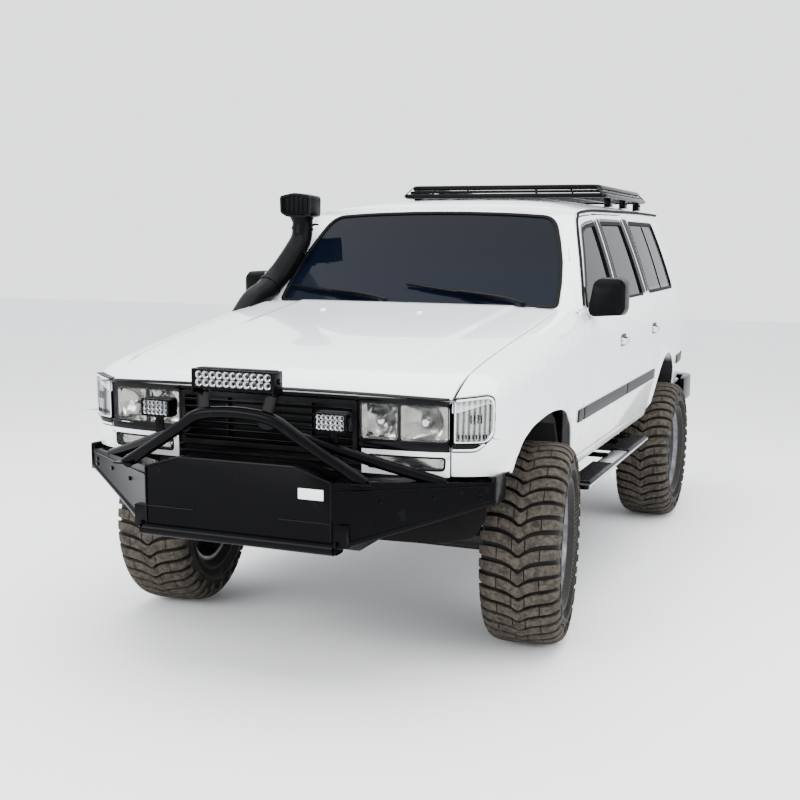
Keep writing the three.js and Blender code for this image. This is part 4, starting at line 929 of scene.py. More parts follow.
    # cast alloy wheel, lightly brake-dusted
    toned("dusty_cast_alloy", "#66676b", "#38393b", 0.04, 6, cut=(0.35, 0.75), rough=(0.28, 0.5), Metallic=0.85)

    # iron and steel castings underneath, with rust bloom
    toned("weathered_cast_iron", "#12110f", "#2a1f18", 0.03, 7, warp=0.3, cut=(0.5, 0.75), rough=(0.6, 0.9),
          bump=(0.004, 5, 0.001, 0.4), Metallic=0.3)

    # chassis paint under road film
    toned("chassis_black_under_road_film", "#08090a", "#1e1b18", 0.06, 7, cut=(0.42, 0.72), rough=(0.45, 0.9),
          bump=(0.005, 5, 0.001, 0.3), Specular_IOR_Level=0.25)

    # bright rolled aluminium of the steps
    toned("rolled_aluminium", "#a8abad", "#cfd1d2", 0.01, 3, (1, 0.05, 1), Metallic=1.0, Roughness=0.32)

    # dyed acrylic tail lamp lenses with moulded optics 6 mm apart
    for name, deep, light in (("red_acrylic", "#2e0103", "#650508"), ("amber_acrylic", "#6b2602", "#a84e08")):
        add, shader = finish(name)
        cells = add("ShaderNodeTexVoronoi", {}, place_of(add), Scale=1 / 0.006, out="Distance")
        put(shader, Base_Color=blend(add, cells, deep, light), Roughness=0.12,
            Specular_IOR_Level=0.3, Normal=relief(add, cells, 0.0008, 0.4))

    # woven polyester seat cloth; the 1 mm weave is drawn at 4 mm so that it shows
    add, shader = finish("woven_seat_cloth")
    weave = add("ShaderNodeTexChecker", {}, place_of(add), Scale=1 / 0.004, out="Fac")
    put(shader, Base_Color=blend(add, weave, "#43454a", "#54565b"),
        Sheen_Weight=0.3, Roughness=0.92, Normal=relief(add, weave, 0.0006, 0.4))

    # moulded vinyl facia
    toned("moulded_facia_vinyl", "#26272a", "#303134", 0.004, 2, bump=(0.003, 2, 0.0004, 0.3), Roughness=0.6)

    # pressed light-grey headlining board
    toned("woven_headlining", "#8d8e8d", "#a3a4a2", 0.003, 3, bump=(0.003, 3, 0.0005, 0.3), Roughness=0.95)

    # phosphor face of a white LED, blank enamelled plate, and painted concrete floor, almost even
    toned("led_phosphor", "#d8d3a8", "#f0efe2", 0.002, 2, Roughness=0.5)
    toned("blank_enamelled_plate", "#d9dbdc", "#eceded", 0.05, 3, Roughness=0.35)
    toned("studio_floor_paint", "#e9eaeb", "#efeff0", 1.5, 2, Roughness=0.75)


# ---------- painted panels
SHUT = 1.6  # each skin is this much bigger than its CAD panel, so shut lines come out about 5 mm
SKIN = 3.0
LAMP_END = -84  # the corner lamp's rear end, measured from the nose's corner
CORNERWISE = (0.7, -0.7, 0)  # the way the corner lamp faces
VALANCE = [(424, 760), (724, 760), (728, 814), (424, 814)]  # the opening of the lamp in the apron


def wing():
    end = nose_end()
    lamp_a = CORNER_Y + LAMP_END
    arch = [(p.x, p.y) for p in smooth_path([(a, b, 0) for a, b in FRONT_ARCH[1:-1]], 4)]
    corners = [
        (600, 566), (470, 566), *arch, (-506, 738), (end, 741), (end, 853),
        (lamp_a - 50, 858, 56), (lamp_a + 4, 940, 50), (lamp_a - 12, 1022, 30), (end, 1022), (end, TOP_B),
        (770, TOP_B), (764, wing_b(764, 1281)), (640, wing_b(640, 1272), 10), (612, wing_b(612, 1250), 20),
        (602, 1172), (600, 900),
    ]

    def place(a, b):
        lift = arch_lift(a, b) if b < 950 and -560 < a < 560 else 0
        return wing_point(a, b, -lift)

    bm = panel(rounded(corners, 6, 3), place, (1, -0.3, 0.4), 26, SKIN, edge=1.2)
    pair(bm, "wing_skin", "white_enamel", stands_for=("front_fender_{side}",))
    lip = [wing_point(a, b, 2 - arch_lift(a, b)) for a, b in arch]
    pair(swept(lip, (5, 5), 8, up=LEFT), "wing_arch_lip", "white_enamel")


def bonnet():
    def crease(x, y):
        line = 505 + (y - NOSE_Y) / 1400 * 62
        return 7 * ease((line + 13 - abs(x)) / 26) * ease((y + 660) / 260)

    def place(u, v):
        u = (u - 0.5) * 2
        front = nose_y(u * 746)
        y = front + (640 - SHUT - front) * v**1.25
        x = u * (BONNET_HALF(y) - 2.4)
        return Vector((x, y, crown_z(x, y) + PROUD + crease(x, y)))

    bm = sheet(120, 44, place, UP, 16, edge=3.5)
    piece(bm, "bonnet_skin", "white_enamel", "bonnet", stands_for=("bonnet",), smooth=40)

    def over_edge(u, v):
        return place(0.005 + u * 0.99, v * 0.022) + Vector((0, -3, 1.5))

    band = sheet(60, 3, over_edge, (0, -1, 0.3), 4, edge=1)
    piece(band, "bonnet_front_band", "gloss_black_surround", "bonnet")


def roof():
    def place(u, v):
        u = (u - 0.5) * 2
        front = glass_y(u * 640, 1748) + 12
        y = mix(front, 3611, v)
        half = door_x(y, ROOF(y, 1) + 8) + 1
        x = u * half * (1 - 0.035 * (1 - clamp((y - front) / 120)) * abs(u))
        level = 1753 - 30 * u * u
        roll = (1 - (1 - clamp((y - front) / 85)) ** 2.4) ** (1 / 2.4)
        tail = 10 * ease((y - 3540) / 70)
        return Vector((x, y, mix(level, roof_z(min(abs(x), half - 1), y) + PROUD, roll) - tail))

    piece(sheet(48, 64, place, UP, 5, edge=1.5), "roof_skin", "white_enamel")
    rail = [tuple(side_point(y - 7, z + 6)) for y, z in ((806, 1296), (900, 1409), (1000, 1527), (1100, 1645))]
    rail.append(tuple(side_point(1146, 1704)))
    rail += [(door_x(y, ROOF(y, 1)) + 3, y, ROOF(y, 1) + 4) for y in spread(1216, 3596, 30)]
    pair(swept(rail, (7, 8), 10), "drip_rail", "epdm_rubber")


def corner_sheet(low, high, inner_edge, outer_edge, out):
    """A rounded corner post between two edges, each given as a function of height."""

    def place(u, v):
        z = mix(low, high, v)
        inner, outer = inner_edge(z), outer_edge(z)
        knee = Vector((mix(inner.x, outer.x, 0.86), mix(inner.y, outer.y, 0.16), z))
        return inner * (1 - u) ** 2 + knee * 2 * u * (1 - u) + outer * u * u

    return sheet(10, 26, place, out, 9, edge=1.5)


def screen_pillar():
    def inner(z):
        edge = GLASS_EDGE(z) + 6
        return Vector((edge, glass_y(edge, z) - 1, z))

    def outer(z):
        back = 797 + (min(z, 1690) - 1283) * 0.849 + max(0, z - 1690) * 0.9
        return Vector((door_x(back, max(z, BELT_Z)) + PROUD, back, z))

    pair(corner_sheet(1268, 1752, inner, outer, (0.6, -0.6, 0.3)), "screen_pillar_skin", "white_enamel")


def rear_post():
    """The painted corner beside the tailgates, over the tail lamp and under it."""
    gate = Curve([(600, 709), (1180, 714), (1300, 708), (1766, 566)])
    side_end = Curve([(600, 3779), (800, 3775), (1180, 3762), (1300, 3738), (1716, 3621), (1766, 3606)])

    def inner(z):
        return tail_point(gate(z), z)

    def outer(z):
        return side_point(side_end(z), z)

    for name, low, high in (("over", 1184, 1764), ("under", 612, 804)):
        pair(corner_sheet(low, high, inner, outer, (0.6, 0.6, 0)), f"rear_post_{name}_lamp", "white_enamel")


def cowl():
    def place(u, v):
        x = (u - 0.5) * 2 * 774
        y = mix(645, 716 + 28 * (x / 750) ** 2, v)
        return Vector((x, y, cowl_z(x, y) + 2.5))

    piece(sheet(40, 4, place, UP, 6, edge=1), "cowl_panel", "white_enamel")
    slots = []
    for x in (start + i * 17 for start in (120, -420) for i in range(17)):
        z = cowl_z(x, 672) + 3
        slots.append(block((x - 5, 660, z - 3), (x + 5, 688, z + 7), 0.8))
    piece(together(slots), "cowl_vents", "epdm_rubber")


def quarter():
    arch = arc(WHEELBASE, ARCH_Z, ARCH_R, 0, 180, 26)
    corners = [
        (2396, 588), *[p for p in reversed(arch) if p[1] > 600], (3283, 596), (3780, 612),
        (3776, 800), (3750, 812), (3750, 1180), (3764, 1196), (3742, 1300), (3625, 1716), (3608, 1760),
        (3000, 1772), (2272, 1764), (2340, 1398, 30), (2410, 1266, 40), (2458, 1184, 30),
        (2458, 734), (2423, 660), (2398, 606),
    ]

    def place(y, z):
        return side_point(y, z, -arch_lift(y, z) if z < 960 else 0)

    hole = rounded(grown(WINDOW_QUARTER, 2), 46, 5)
    pair(panel(rounded(corners, 5, 2), place, LEFT, 38, SKIN, [hole], 1.2), "quarter_skin", "white_enamel")
    lip = [side_point(y, z, 2 - arch_lift(y, z)) for y, z in arch if z > 600]
    pair(swept(lip, (5, 5), 8, up=LEFT), "quarter_arch_lip", "white_enamel")
    pair(on_side(oblong(602, 548, 2392, 594), 0, 60, SKIN, edge=1.2), "sill_skin", "white_enamel")


def doors():
    for name, outline, window in (("front", DOOR_FRONT, WINDOW_FRONT), ("rear", DOOR_REAR, WINDOW_REAR)):
        hole = rounded(grown(window, 1), 34, 5)
        bm = on_side(rounded(grown(outline, SHUT), 16, 3), 0, 36, SKIN, [hole], 1.2)
        pair(bm, f"door_skin_{name}", "white_enamel", f"door_{name}_" + "{side}")
        for side, _ in SIDES:
            dress(f"door_{name}_{side}", "door_paint_and_trim")


def tailgates():
    low = [(-703, 704), (703, 704), (711, 1234), (-711, 1234)]
    piece(on_tail(rounded(low, 18), 0, 60, SKIN, edge=1.2), "tailgate_lower_skin", "white_enamel", "tailgate_lower")
    high = [(-707, 1242), (707, 1242), (703, 1300), (565, 1750), (-565, 1750), (-703, 1300)]
    hole = rounded(grown(TAIL_GLASS, 1), 50, 5)
    bm = on_tail(rounded(high, 16), 0, 60, SKIN, [hole], 1.2)
    piece(bm, "tailgate_upper_skin", "white_enamel", "tailgate_upper")
    for name in ("tailgate_upper", "tailgate_lower"):
        dress(name, "door_paint_and_trim")


def apron():
    low = rounded(oblong(402, 739, 741, 852), 3, 2)
    pair(on_front(low, 0, 30, SKIN, [rounded(VALANCE, 16)], 1.2), "apron_skin", "white_enamel")
    intake = [on_front(oblong(-404, 700, 404, 800), 22, 60, 6)]
    for z in (738, 768, 796):
        intake.append(swept([(x, nose_y(x) + 14, z) for x in spread(-402, 402, 8)], (12, 5), 8))
    piece(together(intake), "lower_intake", "grille_plastic", stands_for=("front_apron",))
    guard = rounded([(262, 430), (600, 440), (790, 480), (840, 560), (840, 690), (262, 690)], 30)
    pair(panel(guard, across(-585), AHEAD, 120, 6, edge=1.5), "splash_guard", "epdm_rubber")


def dress(name, finish_name):
    """Gives a CAD node that stays in view its finish."""
    mesh = frame["nodes"][name].data
    mesh.materials.clear()
    mesh.materials.append(bpy.data.materials[finish_name])


def kept_nodes():
    """Finishes of the CAD nodes that no visual piece stands for, apart from the doors and tailgates."""
    dress("body_shell", "tub_paint_and_lining")
    for name in ("chassis_frame", "fuel_tank"):
        dress(name, "chassis_black_under_road_film")
    iron = ("engine", "gearbox", "front_axle", "rear_axle", "knuckle_left", "knuckle_right", "tie_rod", "exhaust")
    for name in iron:
        dress(name, "weathered_cast_iron")


# ---------- glass and its seals
def windscreen():
    def place(u, v):
        z = mix(1284, 1752, v)
        x = (u - 0.5) * 2 * (GLASS_EDGE(z) + 6)
        level = z - 24 * (x / 640) ** 2 * ease((z - 1680) / 60)
        return Vector((x, glass_y(x, level) - 1, level))

    bm = sheet(30, 24, place, (0, -1, 0.5), 5)
    piece(bm, "windscreen_glass", "filmed_laminated_glass", stands_for=("windscreen",))

    def outline(widen, top, radius, low_radius):
        """The screen's edge on x and height: bowed along the top, with its corners rounded."""
        level = 1282 - widen
        half = [(GLASS_EDGE(level) + widen, level, low_radius)]
        half += [(GLASS_EDGE(z) + widen, z) for z in (1400, 1500, 1600)]
        half.append((GLASS_EDGE(1690) + widen - 16, top - 22, radius))
        crest = [(x, top - 22 * (x / 640) ** 2) for x in (420, 300, 150, 0)]
        right = half + crest
        return rounded(right + [(-p[0], *p[1:]) for p in reversed(right[:-1])], 4, 6)

    def on_screen(x, z):
        return Vector((x, glass_y(x, z) - 4, z))

    inner = outline(-7, 1746, 110, 24)
    seal = [on_screen(x, z) + Vector((0, -1, 1)) for x, z in inner]
    piece(swept(seal, (10, 4), 10, up=(0, -0.68, 0.73), closed=True), "windscreen_seal", "epdm_rubber")
    frame_edge = [(GLASS_EDGE(z) + 9, z) for z in (1276, 1400, 1500, 1600, 1690, 1730)]
    frame_edge += [(x, 1760 - 28 * (x / 640) ** 2) for x in (580, 420, 210, 0)]
    frame_edge += [(-x, z) for x, z in reversed(frame_edge[:-1])]
    frame_sheet = panel(frame_edge, on_screen, (0, -1, 0.5), 60, 4, [grown(inner, 2)])
    piece(frame_sheet, "windscreen_frame", "white_enamel")


def side_glass():
    rows = (
        ("front", WINDOW_FRONT, "door_front_{side}", ("glass_front_{side}",), 30),
        ("rear", WINDOW_REAR, "door_rear_{side}", ("glass_rear_{side}",), 30),
        ("quarter", WINDOW_QUARTER, "chassis", ("quarter_glass_{side}",), 44),
    )
    for name, window, body, nodes, radius in rows:
        outline = rounded(window, radius, 5)
        bm = on_side(grown(outline, 2), 9, 80, 5)
        pair(bm, f"{name}_window", "filmed_toughened_glass", body, stands_for=nodes)
        pair(ring_seal(on_side, outline, -1.2, -11, 9, 12), f"{name}_window_seal", "epdm_rubber", body)
        if name != "quarter":
            bm = ring_seal(on_side, outline, -0.6, 10, 22, 1.5, 0)
            pair(bm, f"{name}_window_band", "gloss_black_surround", body)
    clear = rounded([(2505, 1326), (3318, 1326), (3178, 1690), (2447, 1690)], 30, 4)
    bm = on_side(grown(rounded(WINDOW_QUARTER, 44, 5), -8), 8, 60, 1, [clear])
    pair(bm, "quarter_window_border", "gloss_black_surround")
    bar = [(2962, 1308), (2990, 1308), (2900, 1708), (2872, 1708)]
    pair(on_side(bar, 4, 60, 5), "quarter_window_bar", "gloss_black_surround")
    outline = rounded(TAIL_GLASS, 46, 5)
    bm = on_tail(grown(outline, 2), 8, 100, 5)
    piece(bm, "rear_window", "filmed_toughened_glass", "tailgate_upper", stands_for=("rear_glass",))
    piece(ring_seal(on_tail, outline, -1.5, -13, 6, 12), "rear_window_seal", "epdm_rubber", "tailgate_upper")


def post_tape():
    """Tape on the posts between the windows, in black edging."""
    rows = (
        ("door_front_{side}", [(1531, 1296), (1582, 1296), (1575, 1722), (1521, 1712)], "front_door_rear"),
        ("door_rear_{side}", [(1602, 1296), (1655, 1296), (1645, 1728), (1594, 1726)], "rear_door_front"),
        ("door_rear_{side}", [(2300, 1298), (2376, 1298), (2262, 1733), (2212, 1727)], "rear_door_rear"),
        ("chassis", [(2394, 1302), (2462, 1302), (2404, 1736), (2280, 1740)], "quarter_front"),
    )
    for body, outline, name in rows:
        pair(on_side(rounded(outline, 6, 2), -0.5, 60, 1.5), f"post_edging_{name}", "gloss_black_surround", body)
        bm = on_side(rounded(grown(outline, -9), 3, 2), -1.1, 60, 1)
        pair(bm, f"post_tape_{name}", "satin_pillar_tape", body)
    surround = rounded([(2470, 1290), (3412, 1290), (3246, 1727), (2410, 1727)], 40, 4)
    hole = rounded(grown(WINDOW_QUARTER, 4), 44, 5)
    pair(on_side(surround, -0.5, 60, 1.5, [hole]), "quarter_surround", "gloss_black_surround")


# ---------- side trim
def side_trim():
    def strip(y0, y1):
        return rounded(oblong(y0, 776, y1, 835), 7, 3)

    rows = (
        ("door_front_{side}", 612, 1583, "front_door"), ("door_rear_{side}", 1601, 2424, "rear_door"),
        ("chassis", 3330, 3740, "quarter"),
    )
    for body, y0, y1, name in rows:
        pair(on_side(strip(y0, y1), -8, 90, 8, edge=3), f"moulding_{name}", "grey_polypropylene", body)
    pair(panel(strip(500, 594), sunk(wing_point, -8), LEFT, 90, 8, edge=3), "moulding_wing", "grey_polypropylene")
    for end, y, z in (("front", 1468, 1086), ("rear", 2375, 1087)):
        body = f"door_{end}_" + "{side}"
        # a flat black sheet over each handle's recess: the dark of the finger recess is painted shade
        cup = on_side(rounded(oblong(y - 66, z - 32, y + 66, z + 32), 16, 3), -0.8, 40, 2)
        pair(cup, f"handle_recess_{end}", "grained_black_abs", body)
        x = door_x(y, z)
        bow = ((2, -58, -4), (22, -48, -5), (25, 0, -6), (22, 48, -5), (2, 58, -4))
        bar = swept(smooth_path([(x + a, y + b, z + c) for a, b, c in bow], 5), (8, 17), 12, up=UP)
        pair(bar, f"door_handle_{end}", "chromium_plate", body, slot="black_plastic")
        lock = rod((x, y + 88, z), (x + 4, y + 88, z), 8, 16, edge=1)
        pair(lock, f"door_lock_{end}", "chromium_plate", body, slot="black_plastic")
    flap = rounded(oblong(3080, 1080, 3250, 1225), 22, 4)
    piece(on_side(flap, -1.5, 40, 2, edge=1), "fuel_flap", "white_enamel", flip=True)
    # a thin black ring round the flap: painted shade in its gap
    seal = ring_seal(on_side, flap, -0.4, -1, 3, 1.5, 0)
    piece(seal, "fuel_flap_gap", "epdm_rubber", flip=True)
    for x in (-312, 189):
        z = crown_z(x, 360) + 7
        jet = moved(spun([(0, 0), (0, 17), (5, 15), (9, 9), (10, 0)], 24, UP, ASTERN), (x, 360, z))
        piece(jet, f"washer_nozzle_{'left' if x > 0 else 'right'}", "white_enamel", "bonnet")


# ---------- grille and lamps
def grille():
    hole = rounded(oblong(-366, 818, 366, 992), 8)
    parts = [on_front(rounded(oblong(-384, 798, 384, 1010), 10), -1, 120, 34, [hole], 2.5)]
    for i in range(6):  # each bar has a thin raised edge in front
        for back, lift, size in ((12, 0, (13, 4.5)), (1, 7, (2.2, 2.2))):
            path = [(x, nose_y(x) + back, 826 + i * 29 + lift) for x in spread(-368, 368, 8)]
            parts.append(swept(path, size, 8, up=UP))
    for x in (-184, 184):
        parts.append(block((x - 4, -745, 812), (x + 4, -726, 996), 1.5))
    parts.append(block((-374, -728, 806), (374, -722, 1004), 1))
    piece(together(parts), "grille_frame", "grille_plastic", stands_for=("grille",))
    badge = spun([(0, 0), (0, 30), (4, 34), (8, 30), (9, 0)], 32, AHEAD, UP)
    bmesh.ops.scale(badge, vec=(1.35, 1, 0.9), verts=badge.verts)
    piece(moved(badge, (0, -752, 900)), "grille_blank_boss", "grille_plastic")
    # a black strip set back under the bonnet's front edge: painted shade in the gap above the grille and headlamps
    band = rounded(oblong(-744, 1016, 744, 1027), 2, 1)
    piece(on_front(band, 3, 60, 20), "bonnet_edge_seal", "epdm_rubber")


def bowl(cx, half, low, high, mouth, depth):
    """A rectangular lamp chamber with a round dish in its back."""

    def place(u, v):
        x, z = (u - 0.5) * 2, (v - 0.5) * 2
        r = min(1, math.hypot(x * half, z * (high - low) / 2) / mouth)
        wall = max(abs(x), abs(z)) ** 12
        deep = depth * (1 - 0.62 * r * r) * (1 - wall)
        px = cx + x * half
        return Vector((px, nose_y(px) + 8 + deep, (low + high) / 2 + z * (high - low) / 2))

    return sheet(22, 18, place, AHEAD, 2)


def headlamp():
    outline = rounded(oblong(389, 862, 735, 1013), 12)
    chambers = ((471, 74), (644, 88))
    holes = [rounded(oblong(cx - h, 870, cx + h, 1003), 12) for cx, h in chambers]
    rim = on_front(outline, 1, 60, 30, holes)
    pair(rim, "headlamp_bezel", "grille_plastic", slot="clear_lens")
    bowls = [bowl(cx, h + 1, 869, 1004, 0.76 * h, 46) for cx, h in chambers]
    pair(together(bowls), "headlamp_bowl", "aluminised_reflector", stands_for=("headlamp_{side}",))
    bulbs = []
    for cx, _ in chambers:
        y = nose_y(cx)
        cap = spun([(0, 0), (0, 13), (3, 15), (6, 13), (6, 0)], 20, AHEAD)
        bulbs += [rod((cx, y + 50, 937), (cx, y + 22, 937), 8, 14, 6, 1.5), moved(cap, (cx, y + 24, 937))]
    pair(together(bulbs), "headlamp_bulb", "chromium_plate")
    front = rounded(oblong(394, 868, 730, 1007), 14)
    pair(on_front(front, -1.5, 60, 3, edge=1), "headlamp_lens", "clear_polycarbonate")
    band = rounded(oblong(392, 1014, 740, 1027), 3, 2)
    pair(on_front(band, -2, 60, 5, edge=1), "headlamp_over_band", "gloss_black_surround")
    corner_lamp()


def corner_lamp():
    start, end = nose_end() + 4, CORNER_Y + LAMP_END - 4

    def ring(d, drop=0):
        low, high = 863 + d, 1032 - d - drop
        return rounded([
            (start + d, low), (end - d, low, 62 - d), (end - d, high + 15, 36), (start + d, high),
        ], 6, 8)

    def upright(a, z, depth=0.0):
        """The nose's plan carried straight up, so that the lamp stands upright at the corner."""
        here, out = plan(round(a, 3))
        p = here - out * (depth - PROUD)
        return Vector((p.x, p.y, z))

    on_corner = laid_on(upright, CORNERWISE)
    pair(on_corner(ring(0), 0, 24, 62, [ring(5)]), "corner_lamp_rim", "grille_plastic", slot="clear_lens")
    pair(on_corner(ring(5), -1.5, 24, 4, [ring(9, 3)], 1), "corner_lamp_bright_edge", "lamp_white_edge")
    pair(on_corner(ring(8), 22, 24, 3), "corner_lamp_bowl", "aluminised_reflector")
    pair(on_corner(ring(9, 3), 0, 24, 3, edge=0.8), "corner_lamp_lens", "fluted_polycarbonate")
    # black rods behind the corner lamp's lens: its moulded optics, drawn dark as painted shade
    point, optics_and_shade = sunk(upright, 1), []
    for first, count, low, high, r in ((22, 9, 882, 898, 3.4), (66, 4, 940, 972, 2.8)):
        for i in range(count):
            a = start + first + i * 13
            optics_and_shade.append(rod(point(a, low), point(a, high), r, 6))
    pair(together(optics_and_shade), "corner_lamp_optics", "grille_plastic", slot="clear_lens")


def valance_lamp():
    outline = rounded(VALANCE, 16)
    pair(on_front(outline, -1, 50, 24, [grown(outline, -7)], 2), "valance_lamp_seal", "epdm_rubber")
    pair(on_front(grown(outline, -5), 16, 50, 3), "valance_lamp_bowl", "aluminised_reflector")
    pair(on_front(grown(outline, -7), -1, 50, 3, edge=0.8), "valance_lamp_lens", "clear_polycarbonate")
    band = rounded(oblong(392, 832, 741, 860), 4, 2)
    pair(on_front(band, -2, 60, 4, edge=1), "lamp_under_band", "gloss_black_surround")
    start, end = nose_end() + 1, CORNER_Y + LAMP_END
    on_wing = laid_on(wing_point, CORNERWISE)
    band = [(start, 832), (end - 74, 832, 20), (end - 24, 876, 10), (end - 50, 862, 10), (start, 862)]
    pair(on_wing(rounded(band, 3, 4), -2, 20, 4, edge=1), "wing_under_band", "gloss_black_surround")
    trim = rounded([
        (start + 2, 838), (end - 76, 838, 14), (end - 44, 862, 4), (end - 50, 865), (end - 80, 845, 12),
        (start + 2, 845),
    ], 2, 3)
    pair(on_wing(trim, -4, 20, 3, edge=0.8), "wing_under_trim", "lamp_white_edge", slot="white_paint")


# ---------- front bumper, hoop and work lamps
def bumper_steel():
    """The CAD bumper with rounded folds, and the bolts, fold lines and pads on it."""
    bm = copied("front_bumper", 2.2, 25)
    piece(bm, "front_bumper_steel", "powder_coated_steel", place=Matrix.Identity(4),
          stands_for=("front_bumper",), smooth=30)

    def face(u, v, lift):
        """A point on the left wing's face: u along it, v up it."""
        low, high = 500 + 150 * u, 744 - 24 * u
        normal = Vector((345, -512, 0)).normalized()
        return Vector((388 + 512 * u, -1000 + 345 * u, mix(low, high, v))) + normal * lift

    bolts = [(0.3, 0.62), (0.62, 0.58), (0.9, 0.55), (0.9, 0.3)]
    ribs = [
        swept([face(0.03, 0.86, 0), face(0.5, 0.85, 0), face(0.98, 0.84, 0)], (4, 4), 8),
        swept([face(0.02, 0.02, 2), face(0.98, 0.03, 2)], (5, 5), 8),
        *[rod(face(u, v, -2), face(u, v, 5), 9, 6, edge=1) for u, v in bolts],
        swept([face(0.98, 0, 0), face(1.0, 1.0, 0)], (4, 4), 8),
    ]
    pair(together(ribs), "bumper_wing_folds", "powder_coated_steel")
    folds = []
    for s in (-1, 1):
        for x0, z0, x1, z1, r in ((181, 592, 392, 592, 3), (392, 508, 392, 742, 4), (392, 744, 240, 789, 4)):
            folds.append(swept([(s * x0, -1001, z0), (s * x1, -1001, z1)], (r, r), 8))
    folds.append(swept([(-240, -1001, 789), (240, -1001, 789)], (4, 4), 8))
    folds.append(tube([(-404, -998, 500), (404, -998, 500)], 24, 20))
    piece(together(folds), "bumper_face_folds", "powder_coated_steel")
    blank = block((262, -1006, 676), (364, -1001, 716), 2)
    piece(blank, "bumper_blank_plate", "blank_enamelled_plate")
    pad = rounded([(-664, 630), (-540, 640), (-540, 740), (-664, 744)], 10)
    ends = [
        tube(smooth_path([(388, -994, 500), (690, -786, 588), (897, -650, 650)], 6), 13, 14),
        panel(pad, lambda y, z: Vector((902, y, z)), LEFT, 80, 10, edge=2),
    ]
    pair(together(ends), "bumper_wing_tube", "powder_coated_steel")
    eyes = []
    for s in (-1, 1):
        ear = rounded(oblong(-1010, 478, -940, 530), 16, 4)
        hole = arc(-984, 502, 11, 0, 340, 10)
        eyes.append(panel(ear, lambda y, z, x=s * 413: Vector((x, y, z)), LEFT, 80, 9, [hole], 1.5))
        eyes.append(rod((s * 408, -1016, 516), (s * 420, -1016, 516), 8, 6, edge=1))
    piece(together(eyes), "bumper_tow_eyes", "powder_coated_steel")


BAR_X = 165  # half the light bar's length
POD_AT = (("left", 356, -905, 950), ("right", -398, -890, 958))  # the middles of the two lamp pods


def hoop():
    arch = smooth_path([
        (-510, -955, 742), (-372, -970, 824), (-245, -985, 903), (-150, -996, 958), (0, -1000, 974),
        (150, -996, 958), (245, -985, 903), (372, -970, 824), (510, -955, 742),
    ], 5)
    parts = [tube(arch, 23, 20)]
    for s in (-1, 1):
        parts.append(tube([(s * 222, -984, 906), (s * 480, -864, 810), (s * 733, -747, 722)], 21, 20))
        foot = [(s * 505 - 45, 732 + 8), (s * 505 + 45, 732 + 8), (s * 505 + 40, 746), (s * 505 - 40, 746)]
        parts.append(plate(rounded(foot, 1, 1), across(-990), 70, AHEAD, 1.5))
        cheek = rounded([(104, 958), (158, 968), (BAR_X + 6, 1050), (BAR_X - 44, 1050)], 4, 3)
        end = s * (BAR_X + 4)
        parts += [
            panel([(s * x, z) for x, z in cheek], lambda x, z: Vector((x, -1002 + (z - 958) * 0.3, z)), AHEAD, 70,
                  7, edge=1.2),
            block((end - 4, -1012, 1040), (end + 4, -944, 1131), 3),
            rod((s * (BAR_X + 7), -976, 1094), (s * (BAR_X + 14), -976, 1094), 12, 6, edge=1.5),
        ]
    for _, x, y, z in POD_AT:
        parts += [
            block((x - 18, y - 4, z - 128), (x + 18, y + 4, z - 30), 2),
            block((x - 30, y - 16, z - 40), (x + 30, y + 26, z - 34), 2),
            rod((x, y - 9, z - 60), (x, y - 4, z - 60), 7, 6, edge=1),
        ]
    piece(together(parts), "bumper_hoop_tubes", "powder_coated_steel", stands_for=("bumper_hoop",), smooth=40)


def work_lamp(name, low, high, columns, rows, node_name=None):
    """A finned aluminium case with rows of small reflectors behind a clear front."""
    low, high = Vector(low), Vector(high)
    case = [block(low + Vector((0, 8, 0)), high, 5)]
    depth = high.y - low.y
    for i in range(5):
        y = low.y + 20 + i * (depth - 26) / 5
        case.append(block((low.x + 4, y, low.z - 3), (high.x - 4, y + 3.2, high.z + 3), 0.8))
    for i in range(columns // 2 + 1):
        x = mix(low.x + 12, high.x - 12, i / (columns // 2))
        for z in (low.z + 3, high.z - 3):
            case.append(rod((x, low.y - 2, z), (x, low.y + 2, z), 2.6, 6))

    def rim(inset, radius):
        x0, x1, z0, z1 = low.x + inset, high.x - inset, low.z + inset, high.z - inset
        return rounded(oblong(x0, z0, x1, z1), radius, 3)

    case.append(panel(rim(0, 6), across(low.y), AHEAD, 200, 18, [rim(6, 2)]))
    piece(together(case), f"{name}_case", "powder_coated_steel", stands_for=(node_name,) if node_name else ())
    cups, chips = [], []
    width, height = high.x - low.x - 14, high.z - low.z - 14
    for i in range(columns):
        for k in range(rows):
            x = low.x + 7 + width * (i + 0.5) / columns
            z = low.z + 7 + height * (k + 0.5) / rows
            r = min(width / columns, height / rows) * 0.47
            cup = spun([(10, 0), (9, r * 0.35), (1, r), (1, r + 1), (11, r * 0.5), (12, 0)], 14, ASTERN)
            cups.append(moved(cup, (x, low.y + 2, z)))
            chips.append(block((x - 2.4, low.y + 9, z - 2.4), (x + 2.4, low.y + 11.5, z + 2.4), 0.4))
    piece(together(cups), f"{name}_cups", "chromium_plate")
    piece(together(chips), f"{name}_diodes", "led_phosphor")
    for part, finish, near, far in (("board", "lamp_white_edge", 11, 14), ("front", "clear_polycarbonate", 1, 3)):
        bm = block((low.x + 5, low.y + near, low.z + 5), (high.x - 5, low.y + far, high.z - 5))
        piece(bm, f"{name}_{part}", finish)


def work_lamps():
    work_lamp("light_bar", (-BAR_X, -1010, 1058), (BAR_X, -940, 1130), 11, 2, "light_bar")
    for side, x, y, z in POD_AT:
        work_lamp(f"pod_{side}", (x - 62, y - 31, z - 34), (x + 62, y + 31, z + 34), 6, 3)


# ---------- snorkel, mirrors and wipers
SNORKEL_UP = (0, -0.6, 0.8)
